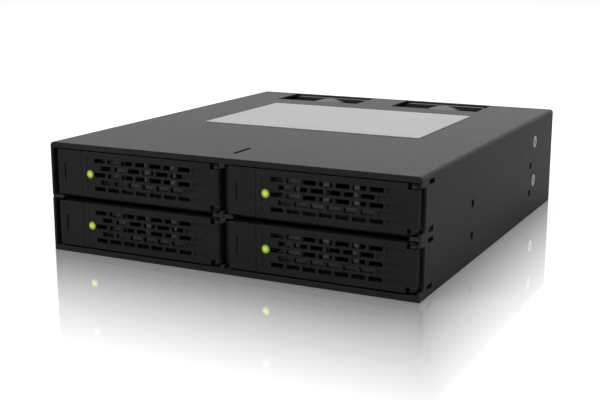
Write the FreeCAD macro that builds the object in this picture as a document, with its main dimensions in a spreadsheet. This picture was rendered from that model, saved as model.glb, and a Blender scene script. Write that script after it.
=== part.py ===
"""Hot swap drive cage: four trays for 2.5 inch drives in one half-height 5.25 inch bay."""
import FreeCAD, Part
import math
import os
import re
import Sketcher
from FreeCAD import Placement, Rotation, Vector

# Driving dimensions in millimetres: name, value, what it is.
SIZES = [
    # cage sheet metal
    ("bay_width", 71.4, "clear width of one bay between its two walls"),
    ("sheet", 1.0, "thickness of the outer shell"),
    ("wall_sheet", 1.2, "thickness of the centre wall and the two shelves"),
    ("base_sheet", 1.0, "thickness of the base plate"),
    ("panel_sheet", 1.0, "thickness of the rear panel"),
    ("frame_sheet", 1.2, "thickness of the backplane frame"),
    ("bend_radius", 1.4, "outer radius of the shell's bends"),
    ("hem_thickness", 1.1, "folded lip under the front edge of the roof"),
    ("hem_depth", 6.0, "depth of the folded lips at the front"),
    ("flange_width", 8.0, "inward flanges along the bottom of the side walls"),
    ("base_setback", 0.3, "base plate's front fold behind the roof's lip"),
    ("wall_end_gap", 0.4, "gap between the bay walls and the backplane board"),
    ("overcut", 1.0, "how far a cut runs on past an open edge"),
    ("label_length", 93.5, "label plate across the cage"),
    ("label_depth", 63.0, "label plate from front to rear"),
    ("label_front", 67.4, "front edge of the label plate"),
    ("label_sheet", 0.2, "thickness of the label plate"),
    ("slit_front", 9.0, "front end of the slit in the roof that takes the centre wall's tab"),
    ("slit_length", 11.0, "length of the slit in the roof"),
    ("slit_width", 1.5, "width of the slit in the roof"),
    ("slit_hole", 0.9, "radius of the relief hole that ends the slit"),
    ("slit_gap", 0.3, "gap between the slit's ends and the tab in it"),
    ("tab_drop", 0.6, "top of that tab below the roof's outer face"),
    # heights inside the bays
    ("lever_height", 16.7, "height of a tray's swing lever"),
    ("low_gap", 0.7, "gap under the lower lever"),
    ("high_gap", 0.4, "gap above the upper lever"),
    ("row_gap", 0.75, "gap between a shelf and the levers above and below it"),
    # side mounting holes
    ("side_hole_front", 53.5, "first pair of side holes from the front edge"),
    ("side_hole_pitch", 79.25, "spacing of the side holes along the cage"),
    ("side_hole_low", 10.0, "height of the lower side holes"),
    ("side_hole_rise", 11.84, "rise from the lower to the upper side holes"),
    ("side_hole", 1.5, "radius of the side holes"),
    ("relief_depth", 3.0, "relief in a shelf's edge at a pair of side holes, across"),
    ("relief_length", 5.0, "length of that relief along the cage"),
    # countersunk screws that hold the backplane frame and the base
    ("sink_head", 2.55, "head radius of the countersunk screws"),
    ("sink_shank", 1.25, "shank radius of the screws"),
    ("sink_hole", 1.65, "radius of the countersunk holes at the inside of the sheet"),
    ("side_screw_low", 14.6, "height of the lower side screws"),
    ("side_screw_high", 31.3, "height of the upper side screws"),
    ("side_screw_set", 3.4, "side screws behind the front face of the backplane frame"),
    ("base_screw_inset", 4.0, "base screws in from the inside of the side walls"),
    ("base_screw_front", 20.0, "first base screw from the front edge"),
    ("base_screw_pitch", 110.0, "spacing of the base screws"),
    # hook slots, scoops and strikes at the front of the walls
    ("scoop_depth", 4.0, "cut-back of the walls' front edges beside the levers"),
    ("scoop_height", 15.1, "height of each cut-back"),
    ("scoop_drop", 0.5, "cut-back's middle below the lever's middle"),
    ("scoop_round", 1.5, "corner radius of the cut-backs"),
    ("lip_thickness", 0.9, "lip beside the centre wall's front tabs"),
    ("lip_depth", 2.5, "depth of that lip"),
    ("lip_height", 1.4, "height of each lip"),
    ("latch_slot_length", 2.6, "slot beside a latch's nose, along the wall"),
    ("latch_slot_height", 4.8, "height of that slot"),
    ("lug_edge", 5.0, "front edge of a shelf behind the front plane"),
    ("lug_left", 3.9, "length of a shelf's left lug"),
    ("lug_right", 3.0, "length of a shelf's right lug"),
    ("lug_setback", 0.3, "lugs' front ends behind the front plane"),
    ("lug_slot", 3.0, "back end of the lugs' slots in the side walls"),
    ("lug_slack", 0.1, "gap between a lug and the back of its slot"),
    # levers
    ("latch_gap", 2.2, "gap between a bay's left wall and the lever"),
    ("hinge_gap", 0.25, "gap between a lever's hinge end and the wall beside it"),
    ("lever_depth", 9.0, "lever from front to back"),
    ("lever_plate", 1.8, "thickness of the lever's front plate"),
    ("lever_wall", 1.2, "thickness of the lever's rim"),
    ("hinge_block", 5.6, "solid end of the lever at the hinge"),
    ("axis_inset", 2.25, "hinge axis from the wall beside it"),
    ("axis_depth", 2.6, "hinge axis behind the front plane"),
    ("pin_radius", 0.9, "radius of the hinge pins"),
    ("pin_depth", 4.5, "length of a hinge pin inside the lever's block"),
    ("running_clearance", 0.05, "radial clearance of the pivots"),
    ("notch_width", 3.6, "corner notches at the hinge end"),
    ("notch_height", 2.0, "height of the corner notches"),
    ("hook_thickness", 0.9, "thickness of a lever's hooks"),
    ("hook_round", 1.6, "front of a hook round its pin"),
    ("hook_nose_front", 7.3, "front of a hook's nose"),
    ("hook_nose_back", 10.3, "back of a hook's nose"),
    ("hook_neck", 1.0, "neck of a hook in from its nose"),
    ("hook_root", 8.0, "hook plate's length inward from its nose"),
    ("hook_lead", 0.4, "slope at the front of a hook's nose"),
    ("hook_back", 1.8, "back corner of a hook's nose in from its end"),
    ("hook_slope", 1.0, "slope behind that corner"),
    ("hook_lap", 0.2, "hook plate in front of the hinge axis"),
    ("pin_play", 0.2, "bore's depth past the end of its pin"),
    ("hook_slot_front", 6.7, "front end of a hook slot in the wall"),
    ("hook_slot_length", 4.9, "length of a hook slot"),
    ("hook_slot_height", 1.7, "height of a hook slot"),
    ("ear_gap", 0.1, "gap above and below an ear in its notch"),
    ("ear_round", 1.4, "half width and front radius of an ear"),
    ("lever_round", 1.5, "rounded front edge at the hinge end"),
    # vents
    ("vent_length", 4.8, "length of a vent slot"),
    ("vent_height", 1.7, "height of a vent slot"),
    ("vent_pitch", 6.0, "spacing of the slots in a row"),
    ("vent_row_pitch", 2.6, "spacing of the rows"),
    ("vent_start", 16.4, "first long-row slot from the lever's left end"),
    ("vent_shift", 2.9, "offset of the short rows"),
    ("vent_blind", 0.4, "depth of the blind slots at the ends of the rows"),
    # latch button
    ("button_width", 10.8, "width of the latch button"),
    ("button_seam", 0.1, "seam between button and lever"),
    ("button_plate", 1.6, "thickness of the button's face"),
    ("button_room", 4.4, "depth of the button's seat in the lever"),
    ("button_floor", 1.2, "thickness of the seat's floor"),
    ("seat_lap", 0.1, "overlap of the two hollows behind the button's seat"),
    ("button_axis_inset", 1.4, "button's pivot from the seam"),
    ("button_axis_depth", 3.0, "button's pivot behind the front plane"),
    ("button_barrel", 1.1, "radius of the button's barrel"),
    ("button_barrel_length", 8.4, "length of the button's barrel"),
    ("trunnion", 0.6, "radius of the button's trunnions"),
    ("trunnion_length", 1.2, "length of each trunnion"),
    ("barrel_room", 0.25, "room round the button's barrel"),
    ("barrel_gap", 0.15, "gap at each end of the barrel"),
    ("face_gap", 0.3, "gap between the button's face and the trunnions' ears"),
    ("button_lap", 0.2, "legs and barrel's run into the button's face"),
    ("barrel_web", 0.4, "web between barrel and face, right of the pivot"),
    ("button_leg", 1.4, "thickness of the leg behind the button"),
    ("button_leg_inset", 2.0, "leg from the button's left end"),
    ("button_nose_height", 4.0, "height of the leg and nose"),
    ("button_nose_front", 6.4, "front of the latch nose"),
    ("button_nose_length", 1.6, "latch nose from front to back"),
    ("nose_slope", 0.6, "slope at the back of the latch nose"),
    ("nose_lead", 0.5, "flat end of the latch nose"),
    ("nose_gap", 0.3, "gap between a latch's nose and the wall beside it"),
    ("nose_room", 0.35, "room round the latch leg and nose"),
    ("leg_window", 1.2, "leg's window past the leg"),
    ("window_lap", 0.1, "that window's run past the lever's end"),
    ("mark_inset", 3.4, "finger mark from the button's left end"),
    ("mark_width", 0.9, "width of the finger mark"),
    ("mark_height", 6.4, "height of the finger mark"),
    ("mark_depth", 0.5, "depth of the finger mark"),
    ("leaf_thickness", 0.25, "thickness of the latch's leaf spring"),
    ("leaf_length", 5.0, "length of the leaf spring"),
    ("leaf_width", 3.0, "width of the leaf spring"),
    ("leaf_foot", 2.2, "leaf spring's foot left of the pivot"),
    ("leaf_foot_length", 1.2, "flat foot of the leaf spring"),
    ("leaf_tip", 0.4, "flat tip of the leaf spring"),
    ("leaf_gap", 0.3, "leaf spring above the latch leg"),
    # light pipe
    ("lens_radius", 1.7, "radius of the lens in the lever"),
    ("lens_inset", 14.25, "lens from the lever's left end"),
    ("lens_boss", 0.9, "wall of the lever's boss round the lens"),
    ("lens_setback", 0.15, "lens behind the lever's front"),
    ("guide_half", 1.0, "half the width of the square light guide along the tray"),
    ("guide_height", 13.0, "height of the light guide along the tray"),
    ("guide_bend", 4.0, "radius of the light guide's bends"),
    ("guide_gap", 0.3, "gap between the lens and the light guide"),
    ("guide_straight", 3.5, "guide's straight run behind the bulkhead"),
    ("guide_offset_end", 8.0, "end of the guide's slanting run behind the bulkhead"),
    ("guide_tail", 1.5, "guide's run past the drive"),
    # trays
    ("tray_sheet", 0.5, "thickness of the tray's sheet"),
    ("tray_clearance", 0.25, "gap between a tray and each wall"),
    ("tray_drop", 0.4, "tray's underside below the lever's lower edge"),
    ("tray_height", 14.5, "height of the tray's sides"),
    ("bulkhead_gap", 2.0, "gap between a lever and the bulkhead behind it"),
    ("bulkhead", 1.2, "thickness of the tray's bulkhead"),
    ("bulkhead_window", 9.0, "width and spacing measure of the bulkhead's windows"),
    ("bulkhead_window_height", 8.4, "height of the bulkhead's windows"),
    ("bulkhead_bar", 2.2, "bars between the bulkhead's windows"),
    ("bulkhead_shift", 4.0, "bulkhead's windows right of the bay's middle"),
    ("drive_space", 11.6, "room between the bulkhead and the drive"),
    ("drive_length", 100.2, "length kept for the drive"),
    ("drive_hole_rear", 14.0, "rear drive holes from the drive's connector end"),
    ("drive_hole_pitch", 76.6, "spacing of the drive holes along the drive"),
    ("drive_hole_spread", 61.72, "spacing of the drive holes across the drive"),
    ("drive_hole", 1.6, "radius of the tray's holes for drive screws"),
    ("floor_slot", 14.0, "cooling slots in the tray's floor, across"),
    ("floor_slot_length", 40.0, "cooling slots in the tray's floor, along"),
    ("floor_slot_gap", 4.0, "bars between the cooling slots"),
    ("tray_tail", 2.4, "tray's sides past the drive's connector end"),
    # backplane
    ("socket_gap", 0.2, "gap between a drive and the face of its socket"),
    ("socket_depth", 7.2, "drive socket from the board"),
    ("socket_width", 43.0, "width of a drive socket"),
    ("socket_height", 5.2, "height of a drive socket"),
    ("socket_shift", 4.8, "socket's middle left of the bay's middle"),
    ("socket_rise", 4.0, "socket's middle above the lever's lower edge"),
    ("socket_slot_depth", 5.0, "depth of a socket's slots"),
    ("socket_slot_height", 2.0, "height of a socket's slots"),
    ("socket_slot_rise", 0.2, "slots above the socket's middle"),
    ("power_slot", 24.4, "width of a socket's power slot"),
    ("power_slot_shift", 6.5, "power slot left of the socket's middle"),
    ("signal_slot", 12.0, "width of a socket's signal slot"),
    ("signal_slot_shift", 12.6, "signal slot right of the socket's middle"),
    ("board", 1.6, "thickness of the backplane board"),
    ("board_edge", 0.8, "board's edges inside the walls"),
    ("board_foot", 0.4, "board's lower edge above the base plate"),
    ("board_head", 0.6, "board's upper edge below the roof"),
    ("board_notch", 2.5, "notch in the board's edge at a side hole"),
    ("board_window", 12.0, "width of an air window in the board"),
    ("board_window_height", 6.0, "height of an air window in the board"),
    ("board_window_gap", 2.0, "bar between two air windows of the board"),
    ("board_window_rise", 2.6, "air windows above the sockets"),
    ("standoff", 2.0, "length of the board's spacers"),
    ("standoff_radius", 2.4, "radius of the board's spacers"),
    ("board_screw_inset", 6.0, "board screws in from the walls"),
    ("board_screw_low", 5.2, "height of the lower board screws"),
    ("board_screw_high", 36.4, "height of the upper board screws"),
    ("frame_flange", 9.0, "depth of the backplane frame's side flanges"),
    ("frame_window_width", 12.4, "width of an air window in the frame"),
    ("frame_window_height", 13.6, "height of an air window in the frame"),
    ("frame_window_across", 7.4, "air window's middle beside the fan's axis"),
    ("frame_window_rise", 7.9, "air window's middle above or below the fan's axis"),
    ("screw_head", 2.6, "head radius of the pan head screws"),
    ("screw_head_height", 1.4, "head height of the pan head screws"),
    ("port_depth", 12.0, "cable ports from the board"),
    ("data_width", 15.6, "width of a data port"),
    ("data_height", 6.2, "height of one data port"),
    ("data_pitch", 7.9, "spacing of the data ports"),
    ("power_width", 23.0, "width of a power port"),
    ("power_height", 6.8, "height of a power port"),
    ("power_pitch", 15.0, "spacing of the power ports"),
    ("port_wall", 0.9, "wall of the cable ports"),
    ("port_tongue", 1.2, "contact tongue inside the cable ports"),
    ("port_floor", 4.0, "closed rear part of the cable ports"),
    ("port_root", 1.0, "tongue's root in that part, and its end short of the port's mouth"),
    ("data_cavity", 12.8, "width of a data port's cavity"),
    ("data_cavity_height", 3.6, "height of a data port's cavity"),
    ("data_tongue", 9.0, "width of a data port's tongue"),
    ("tongue_shift", 0.6, "data tongue left of its port's middle"),
    ("tongue_rise", 0.3, "tongues above their ports' middle"),
    ("power_cavity_height", 4.4, "height of a power port's cavity"),
    ("power_tongue", 18.0, "width of a power port's tongue"),
    ("lamp", 1.0, "depth and height of the status lamps on the board"),
    ("lamp_width", 1.6, "width of the status lamps"),
    # fans
    ("fan_size", 40.0, "width and height of a fan"),
    ("fan_depth", 20.0, "fan from front to back"),
    ("fan_left", -33.3, "middle of the left fan"),
    ("fan_right", 24.3, "middle of the right fan"),
    ("fan_room", 9.3, "room between the backplane frame and the fans"),
    ("fan_slack", 0.3, "gap between a fan and its cut-outs"),
    ("fan_flange", 3.6, "thickness of a fan's end flanges"),
    ("fan_corner", 3.0, "corner radius of a fan"),
    ("fan_wall", 1.0, "wall of a fan's duct"),
    ("fan_hole", 1.65, "radius of a fan's corner holes"),
    ("fan_hole_pitch", 32.0, "spacing of a fan's corner holes"),
    ("fan_hub", 9.6, "radius of a fan's hub"),
    ("fan_strut", 2.0, "width of a fan's struts"),
    ("fan_bearing", 2.4, "radius of a fan's bearing tube"),
    ("fan_shaft", 1.0, "radius of a fan's shaft"),
    ("blade_gap", 0.6, "gap between blades and duct"),
    ("blade_sheet", 0.9, "thickness of a blade"),
    ("blade_depth", 11.0, "blades from front to back"),
    ("rotor_setback", 1.5, "rotor behind the fan's front"),
    ("rotor_wall", 1.4, "wall of the rotor's cup"),
    ("panel_inset", 1.5, "rear panel's face inside the rear edges"),
    ("panel_ear", 6.0, "depth of the rear panel's side flanges"),
    ("flange_drop", 1.0, "top of the side flanges below the roof"),
    ("grille_inset", 2.5, "grille's outer slots inside the fan's edge"),
    ("spoke_lap", 0.1, "grille spoke's run into the panel"),
    ("window_margin", 0.3, "panel windows past the ports on each side"),
    ("grille_ring", 2.6, "width of a ring slot in the fan grilles"),
    ("grille_bar", 1.4, "width of the bars between ring slots"),
    ("grille_spoke", 2.2, "width of the grille's spokes"),
]

# Places worked out from the sizes. Depths run from the front plane to the rear.
PLACES = {
    "case_width": "2*bay_width + wall_sheet + 2*sheet",
    "base_top": "2*base_sheet",
    "row_pitch": "lever_height + wall_sheet + 2*row_gap",
    "lever_low": "base_top + low_gap",
    "lever_high": "lever_low + row_pitch",
    "inside_half": "case_width/2 - sheet",
    "case_height": "lever_high + lever_height + high_gap + hem_thickness + sheet",
    "roof": "case_height - sheet",
    "shelf_low": "lever_low + lever_height + row_gap",
    "bay_left": "-(bay_width + wall_sheet/2)",
    "bay_right": "wall_sheet/2",
    "bulkhead_front": "lever_depth + bulkhead_gap",
    "drive_front": "bulkhead_front + bulkhead + drive_space",
    "drive_back": "drive_front + drive_length",
    "board_front": "drive_back + socket_gap + socket_depth",
    "board_back": "board_front + board",
    "frame_front": "board_back + standoff",
    "frame_back": "frame_front + frame_sheet",
    "fan_front": "frame_back + fan_room",
    "panel_front": "fan_front + fan_depth",
    "case_depth": "panel_front + panel_sheet + panel_inset",
    "fan_axis": "case_height/2",
    "gap_between_fans": "(fan_left + fan_right)/2",
    "power_middle": "(fan_right + fan_size/2 + inside_half)/2",
    "tray_left": "tray_clearance",
    "tray_right": "bay_width - tray_clearance",
    "tray_back": "drive_back + tray_tail",
    "lever_right": "bay_width - hinge_gap",
    "lever_middle": "lever_height/2",
    "axis_across": "bay_width - axis_inset",
    "button_right": "latch_gap + button_width - button_seam",
    "button_axis": "latch_gap + button_width - button_axis_inset",
    "lens_across": "latch_gap + lens_inset",
    "guide_across": "tray_clearance + tray_sheet + guide_half",
    "side_screw_back": "frame_front + side_screw_set",
    "hook_middle": "lever_height - hook_thickness/2",
}

TAPER = 45.0
BLADES = 7
GRILLE_RINGS = 3
BLADE_LEAN = 42.0
LEAST_CUT = 0.001
ROLES = {"x": "YZ_Plane", "y": "XZ_Plane", "z": "XY_Plane"}
TRAYS = [
    ("lower_left", "bay_left", "lever_low"),
    ("lower_right", "bay_right", "lever_low"),
    ("upper_left", "bay_left", "lever_high"),
    ("upper_right", "bay_right", "lever_high"),
]

doc = FreeCAD.newDocument("drive_cage")
sheet = doc.addObject("Spreadsheet::Sheet", "sizes")
parts = []


def fill_sheet():
    """Write the driving dimensions into the spreadsheet."""
    for row, (name, value, meaning) in enumerate(SIZES, start=1):
        sheet.set(f"A{row}", meaning)
        sheet.set(f"B{row}", str(value))
        sheet.setAlias(f"B{row}", name)
    doc.recompute()


def bind(formula):
    """Turn a formula of size and place names into an expression on the spreadsheet."""
    names = {name for name, value, meaning in SIZES}

    def replace(match):
        word = match.group(0)
        if word in names:
            return "sizes." + word
        if word in PLACES:
            return "(" + bind(PLACES[word]) + ")"
        return word

    return re.sub(r"[a-z][a-z_]*", replace, str(formula))


def size(formula):
    """Work out a formula as a plain number."""
    return float(sheet.evalExpression(bind(formula)))


def point(across, depth, height):
    """A point from three formulas."""
    return Vector(size(across), size(depth), size(height))


# Building blocks

def new_body(label, across="0", height="0"):
    """A body whose own origin lies on the front plane at the stated place."""
    body = doc.addObject("PartDesign::Body", label)
    body.Label = label
    body.setExpression("Placement.Base.x", bind(across))
    body.setExpression("Placement.Base.y", bind("-case_depth/2"))
    body.setExpression("Placement.Base.z", bind(height))
    parts.append(body)
    return body


def new_feature(label, shape, across="0", height="0"):
    """A part whose shape comes straight from Part's functions, placed as a body is."""
    feature = doc.addObject("Part::Feature", label)
    feature.Label = label
    feature.Shape = shape
    feature.Placement = Placement(point(across, "-case_depth/2", height), Rotation())
    parts.append(feature)
    return feature


def box(left, low, right, high):
    """A rectangle between two opposite corners."""
    return [(left, low), (right, low), (right, high), (left, high)]


def middle_box(across, height, width, tall):
    """A rectangle about its middle."""
    return box(f"{across} - ({width})/2", f"{height} - ({tall})/2",
               f"{across} + ({width})/2", f"{height} + ({tall})/2")


def circle(across, height, radius):
    """A circle for an outline list."""
    return (across, height, radius)


def draw_polygon(sketch, corners, dimensions):
    """Draw a closed outline of straight lines, each corner dimensioned from the origin."""
    first = sketch.GeometryCount
    spots = [Vector(size(a), size(b), 0) for a, b in corners]
    lines = [Part.LineSegment(spot, after) for spot, after in zip(spots, spots[1:] + spots[:1])]
    sketch.addGeometry(lines, False)
    count = len(corners)
    sketch.addConstraint([
        Sketcher.Constraint("Coincident", first + index, 2, first + (index + 1) % count, 1)
        for index in range(count)])
    for index, (a, b) in enumerate(corners):
        dimensions.append(("DistanceX", (-1, 1, first + index, 1), a))
        dimensions.append(("DistanceY", (-1, 1, first + index, 1), b))


def draw_circle(sketch, a, b, radius, dimensions):
    """Draw a circle with its centre dimensioned from the origin."""
    middle = Vector(size(a), size(b), 0)
    index = sketch.addGeometry(Part.Circle(middle, Vector(0, 0, 1), size(radius)), False)
    dimensions.append(("DistanceX", (-1, 1, index, 3), a))
    dimensions.append(("DistanceY", (-1, 1, index, 3), b))
    dimensions.append(("Radius", (index,), radius))


def dimension_sketch(sketch, dimensions):
    """Add the driving dimensions to a sketch and bind each to the sheet."""
    first = sketch.ConstraintCount
    sketch.addConstraint([Sketcher.Constraint(kind, *ends, size(formula))
                          for kind, ends, formula in dimensions])
    for index, (kind, ends, formula) in enumerate(dimensions, start=first):
        sketch.setExpression(f"Constraints[{index}]", bind(formula))


def new_sketch(body, axis, start, outlines):
    """A sketch across an axis of the body, drawn from outlines of corners or circles."""
    sketch = body.newObject("Sketcher::SketchObject", "profile")
    planes = [item for item in body.Origin.OriginFeatures if item.Role == ROLES[axis]]
    sketch.AttachmentSupport = (planes[0], [""])
    sketch.MapMode = "FlatFace"
    sign = "-" if axis == "y" else ""
    sketch.setExpression("AttachmentOffset.Base.z", bind(f"{sign}({start})"))
    dimensions = []
    for outline in outlines:
        if isinstance(outline, tuple):
            draw_circle(sketch, *outline, dimensions)
        else:
            draw_polygon(sketch, outline, dimensions)
    dimension_sketch(sketch, dimensions)
    return sketch


def add(body, axis, start, length, *outlines):
    """Pad outlines from a start along an axis."""
    pad = body.newObject("PartDesign::Pad", "pad")
    pad.Profile = new_sketch(body, axis, start, outlines)
    pad.Reversed = axis == "y"
    pad.setExpression("Length", bind(length))
    doc.recompute()
    return pad


def cut(body, axis, start, length, *outlines, taper=0):
    """Pocket outlines from a start along an axis, and make sure that material goes."""
    before = body.Shape.Volume
    pocket = body.newObject("PartDesign::Pocket", "pocket")
    pocket.Profile = new_sketch(body, axis, start, outlines)
    pocket.Reversed = axis != "y"
    pocket.setExpression("Length", bind(length))
    pocket.TaperAngle = taper
    doc.recompute()
    if body.Shape.Volume > before - LEAST_CUT:
        raise RuntimeError(f"a pocket in {body.Label} removed nothing")
    return pocket


def edges_along(shape, axis, spots, reach=0.01):
    """Names of straight edges that run along an axis through the stated spots."""
    names = []
    for index, edge in enumerate(shape.Edges, start=1):
        if edge.Curve.TypeId != "Part::GeomLine":
            continue
        if abs(abs(edge.Curve.Direction.dot(axis)) - 1) > 1e-6:
            continue
        middle = edge.valueAt((edge.FirstParameter + edge.LastParameter) / 2)
        for spot in spots:
            offset = middle - spot
            if (offset - axis * offset.dot(axis)).Length < reach:
                names.append(f"Edge{index}")
                break
    return names


def round_edges(body, axis, spots, radius):
    """Fillet the edges along an axis at spots given in the body's own frame."""
    base = body.Tip
    names = edges_along(base.Shape, axis, spots)
    if not names:
        raise RuntimeError(f"no edge to round in {body.Label}")
    fillet = body.newObject("PartDesign::Fillet", "fillet")
    fillet.Base = (base, names)
    fillet.setExpression("Radius", bind(radius))
    doc.recompute()
    return fillet


def repeat(body, feature, direction, length, count):
    """Repeat a feature in a row along one of its sketch's axes."""
    pattern = body.newObject("PartDesign::LinearPattern", "row")
    pattern.Originals = [feature]
    pattern.Direction = (feature.Profile[0], [direction])
    pattern.setExpression("Length", bind(length))
    pattern.Occurrences = count
    body.Tip = pattern
    doc.recompute()
    return pattern


def turned_screw(outline, seat, inward):
    """Turn a half profile of (radius, depth) formulas round a screw's axis."""
    spots = [Vector(size(radius), 0, size(depth)) for radius, depth in outline]
    solid = Part.Face(Part.makePolygon(spots + spots[:1])).revolve(Vector(), Vector(0, 0, 1), 360)
    solid.Placement = Placement(seat, Rotation(Vector(0, 0, 1), inward))
    return solid


def sink_screw(seat, inward, length):
    """Countersunk screw whose head is flush with a seat, running inward."""
    neck = "sink_head - sink_hole"
    return turned_screw([("0", "0"), ("sink_head", "0"), ("sink_hole", neck),
                         ("sink_shank", neck), ("sink_shank", length), ("0", length)], seat, inward)


def pan_screw(seat, inward, length):
    """Pan head screw whose head stands on a seat, running inward."""
    return turned_screw([("0", "-screw_head_height"), ("0.7*screw_head", "-screw_head_height"),
                         ("screw_head", "-0.5*screw_head_height"), ("screw_head", "0"),
                         ("sink_shank", "0"), ("sink_shank", length), ("0", length)], seat, inward)


# The cage

def scoop(lever_low):
    """Outline of the cut-back in a wall's front edge beside one lever, as depth and height."""
    middle = f"{lever_low} + lever_middle - scoop_drop"
    return box("-overcut", f"{middle} - scoop_height/2", "scoop_depth", f"{middle} + scoop_height/2")


def scoop_corners(across):
    """Inner corners of both cut-backs."""
    spots = []
    for low in ("lever_low", "lever_high"):
        for side in (-1, 1):
            height = f"{low} + lever_middle - scoop_drop + {side}*scoop_height/2"
            spots.append(Vector(size(across), size("scoop_depth"), size(height)))
    return spots


def hook_slots():
    """Outlines of the four slots that the levers' hooks look through, as depth and height."""
    slots = []
    for low in ("lever_low", "lever_high"):
        for middle in ("hook_thickness/2", "hook_middle"):
            slots.append(middle_box("hook_slot_front + hook_slot_length/2", f"{low} + {middle}",
                                    "hook_slot_length", "hook_slot_height"))
    return slots


def latch_slots():
    """Outlines of the slots beside the latches' noses, as depth and height."""
    return [middle_box("button_nose_front + button_nose_length/2", f"{low} + lever_middle",
                       "latch_slot_length", "latch_slot_height")
            for low in ("lever_low", "lever_high")]


def fan_cut_outs():
    """Outlines of the cut-outs over the fans, as distance across and depth."""
    wide = "fan_size + 2*fan_slack"
    return [middle_box(middle, "fan_front + fan_depth/2", wide, "fan_depth + 2*fan_slack")
            for middle in ("fan_left", "fan_right")]


def side_holes():
    """Outlines of the four mounting holes of one side."""
    return [circle(f"side_hole_front + {column}*side_hole_pitch",
                   f"side_hole_low + {row}*side_hole_rise", "side_hole")
            for column in (0, 1) for row in (0, 1)]


def side_screw_spots():
    """Depth and height of the side screws."""
    return [("side_screw_back", "side_screw_low"), ("side_screw_back", "side_screw_high")]


def base_screw_spots():
    """Distance across and depth of the base screws."""
    return [(f"{side}*(inside_half - base_screw_inset)", f"base_screw_front + {step}*base_screw_pitch")
            for side in (-1, 1) for step in (0, 1)]


def sink(body, axis, start, outward, spots):
    """Cut screw holes through the shell's sheet and widen them into countersinks.

    The sheet lies from start to start + sheet along the axis, and outward is 1 where its
    outer face is the far one, or -1 where it is the near one.
    """
    cut(body, axis, start, "sheet", *[circle(a, b, "sink_hole") for a, b in spots])
    depth = "(sink_head - sink_hole)"
    if outward > 0:
        cut(body, axis, f"{start} + sheet - {depth}", depth,
            *[circle(a, b, "sink_hole") for a, b in spots], taper=TAPER)
    else:
        cut(body, axis, start, depth, *[circle(a, b, "sink_head") for a, b in spots], taper=-TAPER)


def build_shell():
    """Roof and side walls in one bent sheet, with lips along the bottom and the front."""
    shell = new_body("outer_shell")
    half = "case_width/2"
    add(shell, "y", "0", "case_depth", box(f"-{half}", "0", half, "case_height"))
    for side in (-1, 1):
        corner = Vector(side * size(half), 0, size("case_height"))
        round_edges(shell, Vector(0, 1, 0), [corner], "bend_radius")
    inner = "inside_half"
    cut(shell, "y", "0", "case_depth", box(f"-{inner}", "sheet", inner, "roof"))
    corners = [Vector(side * size(inner), 0, size("roof")) for side in (-1, 1)]
    round_edges(shell, Vector(0, 1, 0), corners, "bend_radius - sheet")
    rim = "inside_half - flange_width"
    cut(shell, "z", "0", "sheet", box(f"-({rim})", "-overcut", rim, "case_depth + overcut"))
    cut(shell, "z", "0", "sheet", box(f"-{inner}", "-overcut", inner, "hem_depth"))
    add(shell, "y", "0", "hem_depth", box(f"-{inner}", "roof - hem_thickness", inner, "roof"))
    # right wall: cut-backs beside the hinge ends, slots for the hooks
    cut(shell, "x", inner, "sheet", scoop("lever_low"), scoop("lever_high"))
    spots = [Vector(size("case_width/2"), p.y, p.z) for p in scoop_corners("0")]
    round_edges(shell, Vector(1, 0, 0), spots, "scoop_round")
    cut(shell, "x", inner, "sheet", *hook_slots())
    cut(shell, "x", f"-{half}", "sheet", *latch_slots())
    # slots for the shelves' lugs
    lug = box("-overcut", "shelf_low", "lug_slot", "shelf_low + wall_sheet")
    cut(shell, "x", inner, "sheet", lug)
    cut(shell, "x", f"-{half}", "sheet", lug)
    for start in (f"-{half}", inner):
        cut(shell, "x", start, "sheet", *side_holes())
    sink(shell, "x", f"-{half}", -1, side_screw_spots())
    sink(shell, "x", inner, 1, side_screw_spots())
    cut(shell, "z", "roof", "sheet", *fan_cut_outs())
    slit = box("-slit_width/2", "slit_front", "slit_width/2", "slit_front + slit_length")
    cut(shell, "z", "roof", "sheet", slit)
    cut(shell, "z", "roof", "sheet", circle("0", "slit_front + slit_length", "slit_hole"))
    sink(shell, "z", "0", -1, base_screw_spots())
    return shell


def build_base():
    """Flat base on the shell's lips, folded down at its front edge."""
    base = new_body("base_plate")
    add(base, "z", "base_sheet", "base_sheet",
        box("-inside_half", "0", "inside_half", "panel_front"))
    add(base, "z", "0", "base_sheet",
        box("-inside_half", "0", "inside_half", "hem_depth - base_setback"))
    cut(base, "z", "base_sheet", "base_sheet", *fan_cut_outs())
    cut(base, "z", "base_sheet", "base_sheet",
        *[circle(a, b, "sink_shank") for a, b in base_screw_spots()])
    return base


def build_centre_wall():
    """Upright sheet between the two columns of trays."""
    wall = new_body("centre_wall")
    start = "-wall_sheet/2"
    top = "roof"
    add(wall, "x", start, "wall_sheet", box("0", "base_top", "board_front - wall_end_gap", top))
    for lip_top in ("shelf_low", "roof - hem_thickness"):
        add(wall, "x", "wall_sheet/2", "lip_thickness",
            box("0", f"{lip_top} - lip_height", "lip_depth", lip_top))
    cut(wall, "x", start, "wall_sheet", scoop("lever_low"), scoop("lever_high"))
    cut(wall, "x", start, "wall_sheet", *hook_slots(), *latch_slots())
    cut(wall, "x", start, "wall_sheet",
        box("-overcut", "roof - hem_thickness", "hem_depth", "roof"))
    tab = box("slit_front + slit_gap", "roof - sheet",
              "slit_front + slit_length - slit_gap", "case_height - tab_drop")
    add(wall, "x", start, "wall_sheet", tab)
    return wall


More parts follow.
